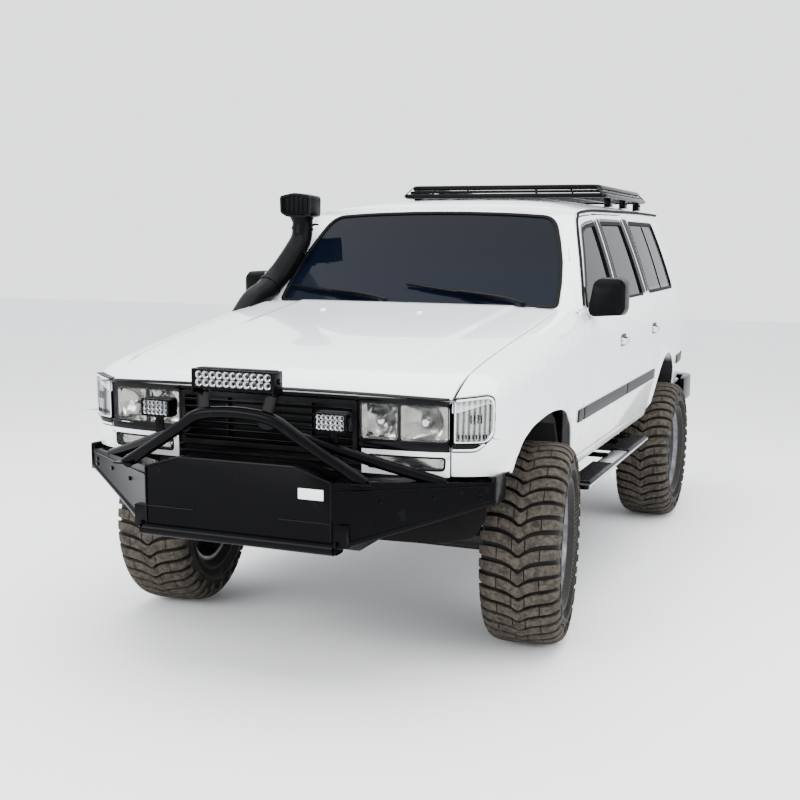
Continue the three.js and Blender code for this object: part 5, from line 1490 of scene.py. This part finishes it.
# the snorkel's path: x, y, z, and its width and depth there
SNORKEL = [
    (-826, 470, 1200, 56, 70), (-822, 575, 1285, 58, 64), (-814, 690, 1334, 60, 60), (-800, 773, 1390, 60, 60),
    (-780, 824, 1440, 58, 60), (-756, 898, 1525, 56, 58), (-742, 962, 1600, 54, 58), (-738, 976, 1663, 54, 58),
    (-736, 976, 1726, 54, 58),
]


def snorkel():
    path = smooth_path([row[:3] for row in SNORKEL], 5)
    sizes = [(p.x, p.y) for p in smooth_path([(row[3], row[4], 0) for row in SNORKEL], 5)]
    parts = [swept(path, sizes, 26, up=SNORKEL_UP)]
    for i in (12, 34):  # two collars, 4 mm proud
        p, q = path[i], path[i + 1]
        w, h = sizes[i]
        parts.append(swept([p, p + (q - p).normalized() * 16], (w + 4, h + 4), 26, up=SNORKEL_UP))
    piece(together(parts), "snorkel_body", "satin_black_abs", stands_for=("snorkel",), smooth=50)
    head = rounded([
        (-828, 1742, 14), (-790, 1720, 20), (-690, 1716, 20), (-650, 1726, 14), (-648, 1830, 16), (-740, 1848, 30),
        (-830, 1830, 16),
    ], 12, 4)
    shell = [
        panel(head, across(1022), ASTERN, 60, 118, edge=5),
        panel(head, across(893), AHEAD, 90, 14, [grown(head, -12)]),
        swept([(-735, 976, 1700), (-737, 968, 1738)], [(56, 60), (70, 64)], 26, up=SNORKEL_UP),
    ]
    piece(together(shell), "snorkel_head", "satin_black_abs", smooth=45)
    flat = [1738 + i * 11.5 for i in range(9)]
    upright = [-806 + i * 27 for i in range(6)]
    louvres = [block((-816, 894, z - 1.6), (-660, 905, z + 1.6), 0.8) for z in flat]
    louvres += [block((x - 1.5, 897, 1732), (x + 1.5, 903, 1836), 0.6) for x in upright]
    piece(together(louvres), "snorkel_louvres", "satin_black_abs")
    clips = []
    for i in (26, 37):
        p = path[i]
        clips.append(block((p.x + 26, p.y - 14, p.z - 12), (p.x + 92, p.y + 12, p.z - 2), 3))
        clips.append(rod((p.x + 78, p.y - 10, p.z - 7), (p.x + 78, p.y - 20, p.z - 7), 7, 6, edge=1))
    piece(together(clips), "snorkel_brackets", "powder_coated_steel")


def mirrors():
    outline = rounded([
        (884, 1276, 16), (907, 1245, 14), (1054, 1256, 34), (1070, 1284, 26), (1070, 1410, 38), (1046, 1434, 34),
        (936, 1434, 26), (916, 1416, 18),
    ], 16, 4)
    for side, flip, turn in (("left", False, 0.0), ("right", True, -68.0)):
        head = panel(outline, across(736), AHEAD, 40, 108, edge=0)
        centre = Vector((977, 0, 1340))
        for v in head.verts:
            d = Vector((v.co.x, 0, v.co.z)) - centre
            out = clamp(max(abs(d.x) / 93, abs(d.z) / 94))
            if v.co.y < 800:
                v.co.y += 26 * out**3
                v.co -= d * 0.05 * out
        soften(head, 8, 50, 3)
        glass = panel(grown(outline, -9), across(845.5), ASTERN, 60, 3)
        foot = block((896, 826, 1300), (922, 866, 1332), 5)
        swing = (
            Matrix.Translation((902, 846, 0)) @ Matrix.Rotation(math.radians(-turn), 4, "Z")
            @ Matrix.Translation((-902, -846, 0))
        )
        for bm in (head, glass):
            bmesh.ops.transform(bm, matrix=swing, verts=bm.verts)
        body = f"door_front_{side}"
        piece(together([head, foot]), f"mirror_{side}_shell", "satin_black_abs", body, flip=flip,
              stands_for=(f"mirror_{side}",), smooth=40)
        piece(glass, f"mirror_{side}_glass", "chromium_plate", body, flip=flip)
        sail = rounded([(834, 1290), (906, 1290), (906, 1392), (886, 1378)], 6, 2)
        piece(on_side(sail, -9, 40, 10, edge=2), f"mirror_{side}_sail", "grained_black_abs", body, flip=flip)


def wipers():
    for name, pivot_x, tip_x, tip_z in (("left", 588, -50, 1383), ("right", -133, -700, 1363)):

        def on_glass(x, z, lift):
            return Vector((x, glass_y(x, z) - 8 - lift, z))

        foot = Vector((pivot_x, 694, cowl_z(pivot_x, 694) + 1))
        knee = foot + Vector((0, 0, 24))
        tip, heel = on_glass(tip_x, tip_z, 14), on_glass(pivot_x - 60, 1318, 14)
        mid = tip.lerp(heel, 0.5) + Vector((0, -12, 6))
        arm = swept(smooth_path([knee, knee.lerp(mid, 0.35) + Vector((0, -12, 10)), mid], 6), (10, 7), 10)
        bow = [tip.lerp(heel, t) + Vector((0, -10 * math.sin(math.pi * t), 0)) for t in spread(0.12, 0.88, 8)]
        parts = [
            rod(foot, knee, 13, 16, edge=3), rod(knee, knee + Vector((0, 0, 6)), 15, 16, 10, 2), arm,
            swept(bow, (7, 5), 8), swept([tip, heel], (6, 6), 8),
        ]
        for t in (0.12, 0.34, 0.66, 0.88):
            p = tip.lerp(heel, t)
            parts.append(block(p - Vector((6, 9, 5)), p + Vector((6, 2, 5)), 1.5))
        piece(together(parts), f"wiper_{name}_arm", "satin_black_abs", stands_for=(f"wiper_{name}",))
        blade = swept([tip + Vector((0, 5, 0)), heel + Vector((0, 5, 0))], (3, 8), 6)
        piece(blade, f"wiper_{name}_blade", "epdm_rubber")


# ---------- tyres and wheels
TYRE_R = 432.0
TREAD_DEPTH = 17
# columns: distance out from the tyre's middle, radius of the lugs' faces
LUG_SECTION = [(0, 432), (50, 431.6), (96, 429), (124, 423), (145, 411), (158, 395), (165, 376), (168, 352)]
# closed section of the casing under the lugs, the sidewall and the bead
CASING = [
    (0, 415), (60, 414.5), (104, 411), (130, 402), (147, 386), (155, 366), (158, 342), (159, 335), (163, 333),
    (163, 322), (158, 319), (154, 300), (149, 284), (151, 281), (149, 272), (139, 262), (126, 250), (118, 240),
    (114, 233), (60, 233.5), (0, 233.5),
]


@lru_cache(None)
def lug_path():
    return measured(smooth_path([(x, r, 0) for x, r in LUG_SECTION], 5))


def lug_point(p, around):
    """A point on the lugs' faces: p along the section from the middle, around in millimetres of tread."""
    points, lengths = lug_path()
    here, _ = walked(points, lengths, min(abs(p), lengths[-1] - 1e-6))
    angle = (around + 54 * (1 - math.exp(-abs(p) / 46))) / TYRE_R
    return Vector((math.copysign(here.x, p), -here.y * math.cos(angle), here.y * math.sin(angle)))


def tread_blocks(count):
    """Chevron lugs: each is three blocks, parted near the middle on odd rows and half way out on even ones."""
    bm = bmesh.new()
    bm.verts.layers.float.new("mud")
    pitch = 2 * math.pi * TYRE_R / count
    end = lug_path()[1][-1]
    for row in range(count):
        odd = row % 2
        part, reach = (26, end - 26) if odd else (86, end)
        for start, stop in ((-reach, -part - 2), (-part + 2, part - 2), (part + 2, reach)):
            steps = 5 if stop - start < 60 else 9
            made = bmesh.ops.create_grid(bm, x_segments=steps, y_segments=1, size=0.5)["verts"]
            for v in made:
                p = mix(start, stop, v.co.x + 0.5)
                half = mix(22.4, 20.2, clamp(abs(p) / 150)) - 5 * clamp((abs(p) - 150) / 60)
                v.co = lug_point(p, row * pitch + half * 2 * v.co.y)
    facing_each(bm)
    thicken(bm, TREAD_DEPTH + 2)
    mud = bm.verts.layers.float["mud"]
    # the lugs' faces carry the mud; their lower sides stay black as painted shade of the grooves
    for v in bm.verts:
        spot = Vector((abs(v.co.x), math.hypot(v.co.y, v.co.z), 0))
        v[mud] = 1.0 if min((p - spot).length for p in lug_path()[0]) < 9 else 0.0
    return bm


def facing_each(bm):
    """Turns every face of a tyre's lugs away from the wheel's centre."""
    bm.normal_update()
    for face in bm.faces:
        if face.normal.dot(face.calc_center_median()) < 0:
            face.normal_flip()


def casing():
    section = CASING[:-1] + [(-x, r) for x, r in reversed(CASING[1:])]
    bm = spun(section + section[:1], 88)
    mud = bm.verts.layers.float.new("mud")
    for v in bm.verts:
        r = math.hypot(v.co.y, v.co.z)
        # less on the groove floors than on the sidewall: the darker floors are painted shade
        v[mud] = 0.05 if r > 380 else 0.14
    return bm


def side_ribs(count):
    """Fine cooling ribs moulded round each sidewall."""
    bm = bmesh.new()
    mud = bm.verts.layers.float.new("mud")
    for i in range(count * 2):
        turn = Matrix.Rotation(2 * math.pi * i / (count * 2), 4, "X")
        for s in (-1, 1):
            rib = block((s * 153 - 5, -2.2, 286), (s * 153 + 5, 2.2, 316), 1)
            bmesh.ops.rotate(rib, verts=rib.verts, cent=(s * 153, 0, 300), matrix=Matrix.Rotation(s * 0.3, 3, "Y"))
            bmesh.ops.transform(rib, matrix=turn, verts=rib.verts)
            added(bm, rib)
    for v in bm.verts:
        v[mud] = 0.25
    return bm


def rim():
    profile = [
        (44, 0), (44, 34), (40, 40), (16, 52), (2, 66), (-4, 84), (-8, 150), (-4, 196), (6, 207), (60, 209),
        (100, 212), (108, 219), (116, 224), (123, 228), (124.5, 240), (122, 246), (118.5, 245), (117, 236),
        (112, 232.4), (60, 231.5), (-60, 231.5), (-112, 232.4), (-117, 236), (-118.5, 245), (-122, 246),
        (-124, 238), (-120, 226), (-100, 221), (-30, 218), (-20, 206), (-17, 90), (-14, 80), (-48, 79), (-48, 150),
        (-60, 150), (-60, 0),
    ]
    parts = [spun(profile, 72)]
    for i in range(6):
        angle = 2 * math.pi * i / 6
        spot = Vector((0, math.cos(angle), math.sin(angle)))
        parts.append(rod(spot * 70 + Vector((-4, 0, 0)), spot * 70 + Vector((18, 0, 0)), 11, 6, edge=2))
    return together(parts)


def rim_hole_shades():
    """Black discs in the hand holes round the wheel's disc: painted shade where one would see through the holes."""
    parts = []
    for i in range(8):
        angle = 2 * math.pi * (i + 0.5) / 8
        spot = Vector((0, math.cos(angle), math.sin(angle))) * 138
        parts.append(rod(spot + Vector((-12, 0, 0)), spot + Vector((-3.5, 0, 0)), 24, 20, 27, 2))
    return together(parts)


CORNERS = [(f"{end}_{side}", flip) for end in ("front", "rear") for side, flip in SIDES]


def wheel_place(corner):
    """Where a wheel stands, read from its joint: x runs along its axle."""
    joint = JOINTS[f"wheel_{corner}"]
    turn = math.atan2(joint["axis"][1], joint["axis"][0])
    return Matrix.Translation(joint["pos_m"]) @ Matrix.Rotation(turn, 4, "Z") @ TO_MM


def wheels(sizes):
    tyre = together([tread_blocks(sizes.lugs), casing(), side_ribs(sizes.lugs)])
    cap = spun([(62, 0), (64, 20), (60, 27), (40, 30), (39, 0)], 28)
    rows = (  # shape, name, finish, CAD node, degrees
        (tyre, "tyre_{}_tread", "muddy_tyre_rubber", "tyre_{}", 32),
        (rim(), "rim_{}_barrel", "dusty_cast_alloy", "rim_{}", 30),
        # the hand holes' black discs are painted shade
        (rim_hole_shades(), "rim_{}_holes", "epdm_rubber", "", 35), (cap, "hub_cap_{}", "satin_black_abs", "", 35),
    )
    for corner, flip in CORNERS:
        for bm, name, finish, node_name, degrees in rows:
            piece(bm.copy(), name.format(corner), finish, f"wheel_{corner}", place=wheel_place(corner), flip=flip,
                  stands_for=(node_name.format(corner),) if node_name else (), smooth=degrees)
    for row in rows:
        row[0].free()


def running_gear():
    """Coil springs and brake discs over the plain CAD axles."""
    for end, y in (("front", 0), ("rear", WHEELBASE)):
        coil = []
        steps = int(6.5 * 14)  # six and a half turns of 14 steps
        for i in range(steps + 1):
            angle = 2 * math.pi * i / 14
            height = mix(486, 686 if y else 676, i / steps)
            coil.append((512 + 55 * math.cos(angle), y + 55 * math.sin(angle), height))
        pair(tube(coil, 8, 8), f"coil_spring_{end}", "chassis_black_under_road_film", place=LEVEL)
    for corner, flip in CORNERS:
        disc = spun([(-76, 60), (-76, 158), (-66, 158), (-66, 60), (-76, 60)], 48)
        piece(disc, f"brake_disc_{corner}", "weathered_cast_iron", f"wheel_{corner}", place=wheel_place(corner),
              flip=flip)


# ---------- roof rack and side steps
RACK_Y0, RACK_Y1, RACK_LOW, RACK_HIGH, RACK_X, RACK_TOP_X = 2150, 3440, 1872, 1922, 632, 588


def rack_rail(x, inset, z, size, sides):
    """A rail that runs once round the rack at one height."""
    corners = rounded(oblong(-x, RACK_Y0 + inset, x, RACK_Y1 - inset), 60, 5)
    return swept([(a, b, z) for a, b in corners], size, sides, closed=True)


def roof_rack():
    parts = [
        rack_rail(RACK_X, 0, RACK_LOW, (14, 14), 12), rack_rail(RACK_TOP_X, 30, RACK_HIGH, (15, 15), 12),
        rack_rail((RACK_X + RACK_TOP_X) / 2, 15, (RACK_LOW + RACK_HIGH) / 2, (5, 8), 10),
    ]
    ys = spread(RACK_Y0, RACK_Y1, 6)
    for y in ys[1:-1]:
        parts.append(block((-RACK_X + 4, y - 18, RACK_LOW - 7), (RACK_X - 4, y + 18, RACK_LOW + 12), 3))
        parts.append(block((-RACK_X + 14, y - 14, RACK_LOW + 12), (RACK_X - 14, y + 14, RACK_LOW + 13), 0.3))
    for x in (-420, -210, 0, 210, 420):
        parts.append(block((x - 12, RACK_Y0 + 6, RACK_LOW - 11), (x + 12, RACK_Y1 - 6, RACK_LOW - 6), 1.2))
    for i, y in enumerate(ys):
        top = y + 30 if i == 0 else y - 30 if i == 6 else y
        for s in (-1, 1):
            parts.append(swept([(s * RACK_X, y, RACK_LOW), (s * RACK_TOP_X, top, RACK_HIGH)], (13, 3.5), 8))
    for x in (-0.36, -0.72, 0.36, 0.72):
        foot, head = (RACK_X * x, RACK_Y0, RACK_LOW), (RACK_TOP_X * x, RACK_Y0 + 30, RACK_HIGH)
        parts.append(swept([foot, head], (7, 4), 8))
    for y in (ys[1], ys[3], ys[5]):
        for s in (-1, 1):
            inner = RACK_X - 36
            ground = max(roof_z(inner, y - 40), roof_z(inner, y + 40)) + 1.8
            low, high = sorted((s * inner, s * (RACK_X + 4)))
            parts.append(block((low, y - 36, ground + 6), (high, y + 36, RACK_LOW - 8), 4))
            parts.append(block((low - 2, y - 40, ground), (high + 2, y + 40, ground + 6), 2))
            for k in (-20, 20):
                spot = Vector((s * (RACK_X + 2), y + k, (ground + RACK_LOW) / 2))
                parts.append(rod(spot, spot + Vector((s * 6, 0, 0)), 7, 6, edge=1))
    piece(together(parts), "roof_rack_frame", "powder_coated_steel", stands_for=("roof_rack",), smooth=40)


STEP_X0, STEP_X1, STEP_Y0, STEP_Y1 = 862, 962, 560, 2080


def side_steps():
    outline = rounded(oblong(STEP_X0, STEP_Y0, STEP_X1, STEP_Y1), 22, 4)
    parts = [panel(outline, lambda x, y: Vector((x, y, 474)), UP, 200, 22, edge=5)]
    for y in (700, 1320, 1940):
        parts.append(block((450.5, y - 25, 472), (882, y + 25, 492), 3))
        parts.append(block((862, y - 25, 454), (882, y + 25, 492), 3))
    pair(together(parts), "step_frame", "powder_coated_steel", stands_for=("side_step_{side}",))
    pads, ribs = [], []
    for y0, y1 in ((STEP_Y0 + 60, STEP_Y0 + 560), (STEP_Y1 - 560, STEP_Y1 - 60)):
        pads.append(block((STEP_X0 - 12, y0, 470), (STEP_X1 - 4, y1, 483), 4))
        for i in range(9):
            x = STEP_X0 - 2 + i * 10.5
            ribs.append(block((x - 2.6, y0 + 14, 482), (x + 2.6, y1 - 14, 487.5), 1.4))
    pair(together(pads), "step_pads", "grained_black_abs")
    pair(together(ribs), "step_ribs", "epdm_rubber")
    strips = [
        block((STEP_X0 + 14, STEP_Y0 + 570, 474), (STEP_X1 - 12, STEP_Y1 - 570, 477), 1),
        block((STEP_X1 - 3, STEP_Y0 + 30, 458), (STEP_X1 + 2, STEP_Y1 - 30, 468), 1.5),
    ]
    pair(together(strips), "step_bright_strips", "rolled_aluminium")


# ---------- tail
def tail_end():
    def lamp(x, z, depth=0.0):
        u = clamp((x - 726) / 126)
        return Vector((x, TAIL_Y(z) + 11 - 54 * u**3 - depth, z))

    cells = (
        ("brake", 1092, 1178, "red_acrylic"), ("turn", 1004, 1090, "amber_acrylic"),
        ("reverse", 918, 1002, "fluted_polycarbonate"), ("side", 808, 916, "red_acrylic"),
    )
    backing = rounded(oblong(727, 807, 851, 1180), 14)
    case = panel(backing, sunk(lamp, 4), ASTERN, 30, 40)
    pair(case, "tail_lamp_case", "satin_black_abs", stands_for=("tail_lamp_{side}",))
    for name, low, high, colour in cells:
        outline = rounded(oblong(731, low, 847, high), 8)
        pair(panel(outline, lamp, (0.4, 1, 0), 24, 8, edge=2), f"tail_lamp_{name}", colour, slot="red_lens")
    black = "grained_black_abs"
    for corners, radius, depth, step, thick, edge, name, finish, slot in (
        (oblong(-560, 1196, 560, 1222), 6, -9, 90, 9, 2.5, "tailgate_grip", black, None),
        (oblong(-285, 1010, 285, 1158), 14, -4, 120, 4, 2, "plate_surround", black, None),
        (oblong(-260, 1028, 260, 1140), 8, -6, 120, 2, 0.8, "rear_blank_plate", "blank_enamelled_plate", "white_paint"),
    ):
        bm = on_tail(rounded(corners, radius), depth, step, thick, edge=edge)
        piece(bm, name, finish, "tailgate_lower", slot)
    lift = swept(smooth_path([(x, 0, 1262) for x in (-90, -60, 0, 60, 90)], 2), (12, 10), 12)
    for v in lift.verts:
        v.co.y += tail_point(v.co.x, 1262).y + 4
    piece(lift, "tailgate_latch", "satin_black_abs", "tailgate_upper")
    pivot = tail_point(0, 1285)
    arm = [pivot + Vector((0, 12, 0)), tail_point(-120, 1370, -16), tail_point(-190, 1420, -12)]
    blade = [tail_point(-60, 1335, -9), tail_point(-200, 1425, -12), tail_point(-330, 1500, -10)]
    parts = [rod(pivot, pivot + Vector((0, 16, 0)), 16, 18, 12, 2), swept(arm, (6, 4), 8), swept(blade, (4, 5), 8)]
    piece(together(parts), "rear_wiper", "satin_black_abs", "tailgate_upper")
    bm = copied("rear_bumper", 6, 30, 3)
    piece(bm, "rear_bumper_steel", "powder_coated_steel", place=Matrix.Identity(4), stands_for=("rear_bumper",),
          smooth=30)
    caps = [block((x, 3840, 650), (x + 460, 3935, 652), 0.8) for x in (-700, 240)]
    piece(together(caps), "rear_bumper_treads", "rolled_aluminium")


# ---------- cabin
def cushion(low, high, crown, channels=0, lean=0.0):
    """A stuffed block: crowned faces, sides drawn in between the corners, and sewn channels across it."""
    bm = bmesh.new()
    bmesh.ops.create_cube(bm, size=1)
    bmesh.ops.subdivide_edges(bm, edges=bm.edges[:], cuts=17, use_grid_fill=True)
    low, high = Vector(low), Vector(high)
    size, middle = high - low, (low + high) / 2
    for v in bm.verts:
        p = v.co * 2
        x2, y2, z2 = p.x**2 * 0.5, p.y**2 * 0.5, p.z**2 * 0.5
        swell = Vector((1 - y2 - z2, 1 - x2 - z2, 1 - x2 - y2))
        norm = (abs(p.x) ** 5 + abs(p.y) ** 5 + abs(p.z) ** 5) ** (1 / 5)
        q = Vector([c / max(norm, 1e-6) for c in p]) * max(abs(c) for c in p)
        groove = 0.0
        if channels:
            phase = (q.x + 1) / 2 * channels
            groove = math.exp(-(((phase - round(phase)) * 9) ** 2)) if 0.5 < phase < channels - 0.5 else 0
        out = Vector([q[i] * size[i] / 2 + math.copysign(crown * max(0.0, swell[i]) * abs(q[i]) ** 3, q[i]) - (
            math.copysign(crown * 0.9 * groove, q[i]) * abs(q[i]) ** 6 if i else 0) for i in range(3)])
        out -= Vector([math.copysign(min(crown, size[i] / 2) * 0.9, q[i]) * abs(q[i]) for i in range(3)])
        v.co = middle + out
        v.co.y += lean * (v.co.z - low.z)
    return bm


def seat(name, low_x, high_x, y0, y1, base_z, back_top, node_name):
    """A squab, a backrest and head restraints as stuffed pieces on a trimmed base."""
    squab = cushion((low_x, y0, base_z), (high_x, y1 - 130, base_z + 150), 14, 5)
    obj = piece(squab, f"{name}_squab", "woven_seat_cloth", stands_for=(node_name,), smooth=60)
    back = cushion((low_x, y1 - 170, base_z + 90), (high_x, y1 - 60, back_top), 14, 5, 0.2)
    obj = piece(back, f"{name}_backrest", "woven_seat_cloth", smooth=60)
    centres = [(low_x + high_x) / 2] if high_x - low_x < 700 else [-350, 350]
    for i, x in enumerate(centres):
        shift = 0.2 * (back_top - base_z - 90)
        rest = cushion((x - 120, y1 - 160 + shift, back_top + 15), (x + 120, y1 - 70 + shift, back_top + 125), 10)
        obj = piece(rest, f"{name}_head_restraint_{i}", "woven_seat_cloth", smooth=60)
    base = block((low_x + 30, y0 + 40, 629), (high_x - 30, y1 - 180, base_z + 6), 16)
    piece(base, f"{name}_base", "moulded_facia_vinyl")


def cabin():
    seat("front_seat_left", 195, 685, 1112, 1780, 760, 1310, "front_seat_left")
    seat("front_seat_right", -685, -195, 1112, 1780, 760, 1310, "front_seat_right")
    seat("rear_bench", -572, 572, 2062, 2640, 745, 1290, "rear_seat")
    bm = copied("dashboard", 6, 30, 3)
    piece(bm, "facia", "moulded_facia_vinyl", place=Matrix.Identity(4), stands_for=("dashboard",), smooth=30)

    def under_roof(u, v):
        y = mix(1215, 3560, v)
        x = (u - 0.5) * 2 * (door_x(y, ROOF(y, 1)) - 60)
        return Vector((x, y, roof_z(x, y) - 26))

    piece(sheet(16, 24, under_roof, (0, 0, -1), 3), "headlining", "woven_headlining")
    carpet = block((-790, 640, 628.5), (790, 3660, 634), 2)
    piece(carpet, "floor_carpet", "woven_seat_cloth")




# ---------- stage
FLOOR_HALF, SKY, SKY_STRENGTH = 30, "#f4f6f9", 2.3
# soft boxes: name, place, the point they face, size in metres, power in watts
SOFT_BOXES = (
    ("overhead_softbox", (0.5, -0.5, 6.5), (0, 0, 0.8), (7, 9), 900),
    ("front_softbox", (-3.5, -8.0, 3.6), (0, -1.5, 0.9), (5, 3), 520),
    ("side_softbox", (7.5, -2.0, 3.0), (0.6, 0, 0.9), (6, 3), 260),
)
# the camera: place in metres, heading to the left of +Y and dip in degrees, and the offset of its view
CAMERA_AT, HEADING, DIP, SENSOR_MM, SHIFT = (2.1667, -6.102, 1.6128), 21.287, 7.469, 36, (-0.0314125, 0.0167625)


def soft_light(name, place, target, size, power):
    data = bpy.data.lights.new(name, "AREA")
    data.shape = "RECTANGLE"
    data.size, data.size_y = size
    data.energy = power
    obj = bpy.data.objects.new(name, data)
    obj.location = place
    obj.rotation_euler = (Vector(target) - Vector(place)).to_track_quat("-Z", "Y").to_euler()
    bpy.context.scene.collection.objects.link(obj)


def stage(sizes):
    bm = bmesh.new()
    bmesh.ops.create_grid(bm, x_segments=8, y_segments=8, size=FLOOR_HALF)
    mesh = bpy.data.meshes.new("studio_floor")
    bm.to_mesh(mesh)
    bm.free()
    mesh.materials.append(bpy.data.materials["studio_floor_paint"])
    floor = bpy.data.objects.new("studio_floor", mesh)
    bpy.context.scene.collection.objects.link(floor)
    world = bpy.data.worlds.new("studio_air")
    world.use_nodes = True
    background = world.node_tree.nodes["Background"]
    background.inputs["Color"].default_value = linear(SKY)
    background.inputs["Strength"].default_value = SKY_STRENGTH
    bpy.context.scene.world = world
    for row in SOFT_BOXES:
        soft_light(*row)

    data = bpy.data.cameras.new("camera")
    data.sensor_width, data.lens = SENSOR_MM, sizes.lens
    data.shift_x, data.shift_y = SHIFT
    camera = bpy.data.objects.new("camera", data)
    camera.matrix_world = Matrix.Translation(CAMERA_AT)
    for angle, axis in ((HEADING, "Z"), (90 - DIP, "X"), (sizes.roll, "Z")):
        camera.matrix_world = camera.matrix_world @ Matrix.Rotation(math.radians(angle), 4, axis)
    bpy.context.scene.collection.objects.link(camera)
    bpy.context.scene.camera = camera


# ---------- what a user may change
class EstateSizes(bpy.types.PropertyGroup):
    """Sizes of the finishing pieces"""

    lens: FloatProperty(
        name="Lens", description="Focal length of the camera in millimetres", default=51.74, min=20, max=200
    )
    roll: FloatProperty(
        name="Camera roll", description="Tilt of the camera about its own axis in degrees", default=0.878
    )
    lugs: IntProperty(
        name="Tread lugs", description="Chevrons round each tyre; an even number", default=44, min=24, max=60
    )


class EstateColours(bpy.types.PropertyGroup):
    """Colours of the finishes"""

    paint: FloatVectorProperty(
        name="Paint", description="Colour of the enamel on the body", subtype="COLOR", size=3,
        default=linear("#eceef0")[:3], min=0, max=1,
    )


class ESTATE_OT_finishes(bpy.types.Operator):
    """Makes every finish and gives the CAD parts that stay in view theirs"""

    bl_idname = "estate.finishes"
    bl_label = "Finishes"

    def execute(self, context):
        make_finishes(context.scene.estate_colours)
        kept_nodes()
        return {"FINISHED"}


class ESTATE_OT_front_panels(bpy.types.Operator):
    """Wings, bonnet and front apron"""

    bl_idname = "estate.front_panels"
    bl_label = "Front panels"

    def execute(self, context):
        wing()
        bonnet()
        apron()
        return {"FINISHED"}


class ESTATE_OT_cabin_panels(bpy.types.Operator):
    """Roof, pillars, cowl and quarters"""

    bl_idname = "estate.cabin_panels"
    bl_label = "Cabin panels"

    def execute(self, context):
        roof()
        screen_pillar()
        cowl()
        quarter()
        rear_post()
        return {"FINISHED"}


class ESTATE_OT_doors(bpy.types.Operator):
    """Skins of the side doors and tailgates"""

    bl_idname = "estate.doors"
    bl_label = "Doors"

    def execute(self, context):
        doors()
        tailgates()
        return {"FINISHED"}


class ESTATE_OT_glass(bpy.types.Operator):
    """Windows, their seals and the tape on the posts"""

    bl_idname = "estate.glass"
    bl_label = "Glass"

    def execute(self, context):
        windscreen()
        side_glass()
        post_tape()
        return {"FINISHED"}


class ESTATE_OT_side_trim(bpy.types.Operator):
    """Mouldings, handles, fuel flap and washer jets"""

    bl_idname = "estate.side_trim"
    bl_label = "Side trim"

    def execute(self, context):
        side_trim()
        return {"FINISHED"}


class ESTATE_OT_lamps(bpy.types.Operator):
    """Grille, headlamps, corner lamps and valance lamps"""

    bl_idname = "estate.lamps"
    bl_label = "Grille and lamps"

    def execute(self, context):
        grille()
        headlamp()
        valance_lamp()
        return {"FINISHED"}


class ESTATE_OT_bumper(bpy.types.Operator):
    """Front bumper, hoop, light bar and lamp pods"""

    bl_idname = "estate.bumper"
    bl_label = "Front bumper"

    def execute(self, context):
        bumper_steel()
        hoop()
        work_lamps()
        return {"FINISHED"}


class ESTATE_OT_snorkel(bpy.types.Operator):
    """Raised air intake"""

    bl_idname = "estate.snorkel"
    bl_label = "Snorkel"

    def execute(self, context):
        snorkel()
        return {"FINISHED"}


class ESTATE_OT_mirrors(bpy.types.Operator):
    """Door mirrors and windscreen wipers"""

    bl_idname = "estate.mirrors"
    bl_label = "Mirrors and wipers"

    def execute(self, context):
        mirrors()
        wipers()
        return {"FINISHED"}


class ESTATE_OT_wheels(bpy.types.Operator):
    """Tyres, wheels, springs and brake discs"""

    bl_idname = "estate.wheels"
    bl_label = "Wheels"

    def execute(self, context):
        wheels(context.scene.estate_sizes)
        running_gear()
        return {"FINISHED"}


class ESTATE_OT_rack_and_steps(bpy.types.Operator):
    """Roof rack and side steps"""

    bl_idname = "estate.rack_and_steps"
    bl_label = "Rack and steps"

    def execute(self, context):
        roof_rack()
        side_steps()
        return {"FINISHED"}


class ESTATE_OT_tail(bpy.types.Operator):
    """Tail lamps, rear wiper, plate and rear bumper"""

    bl_idname = "estate.tail"
    bl_label = "Tail"

    def execute(self, context):
        tail_end()
        return {"FINISHED"}


class ESTATE_OT_cabin(bpy.types.Operator):
    """Seats, facia, headlining and carpet"""

    bl_idname = "estate.cabin"
    bl_label = "Cabin"

    def execute(self, context):
        cabin()
        return {"FINISHED"}


class ESTATE_OT_stage(bpy.types.Operator):
    """Floor, soft lights and camera"""

    bl_idname = "estate.stage"
    bl_label = "Stage"

    def execute(self, context):
        stage(context.scene.estate_sizes)
        return {"FINISHED"}


class ESTATE_PT_panel(bpy.types.Panel):
    """Lists the finishing steps in the sidebar"""

    bl_idname = "ESTATE_PT_panel"
    bl_label = "Estate"
    bl_space_type = "VIEW_3D"
    bl_region_type = "UI"
    bl_category = "Estate"

    def draw(self, context):
        column = self.layout.column()
        column.prop(context.scene.estate_colours, "paint")
        for name in ("lens", "roll", "lugs"):
            column.prop(context.scene.estate_sizes, name)
        for operator in STEPS:
            column.operator(operator.bl_idname)


STEPS = (
    ESTATE_OT_finishes, ESTATE_OT_stage, ESTATE_OT_front_panels, ESTATE_OT_cabin_panels, ESTATE_OT_doors,
    ESTATE_OT_glass, ESTATE_OT_side_trim, ESTATE_OT_lamps, ESTATE_OT_bumper, ESTATE_OT_snorkel, ESTATE_OT_mirrors,
    ESTATE_OT_wheels, ESTATE_OT_rack_and_steps, ESTATE_OT_tail, ESTATE_OT_cabin,
)
CLASSES = (EstateSizes, EstateColours, *STEPS, ESTATE_PT_panel)


def register():
    for cls in CLASSES:
        bpy.utils.register_class(cls)
    bpy.types.Scene.estate_sizes = PointerProperty(type=EstateSizes)
    bpy.types.Scene.estate_colours = PointerProperty(type=EstateColours)


def unregister():
    del bpy.types.Scene.estate_colours
    del bpy.types.Scene.estate_sizes
    for cls in reversed(CLASSES):
        bpy.utils.unregister_class(cls)


def main():
    register()
    for step in STEPS:
        group, name = step.bl_idname.split(".")
        result = getattr(getattr(bpy.ops, group), name)()
        if result != {"FINISHED"}:
            raise RuntimeError(f"{step.bl_idname} did not finish")


if __name__ == "__main__":
    main()
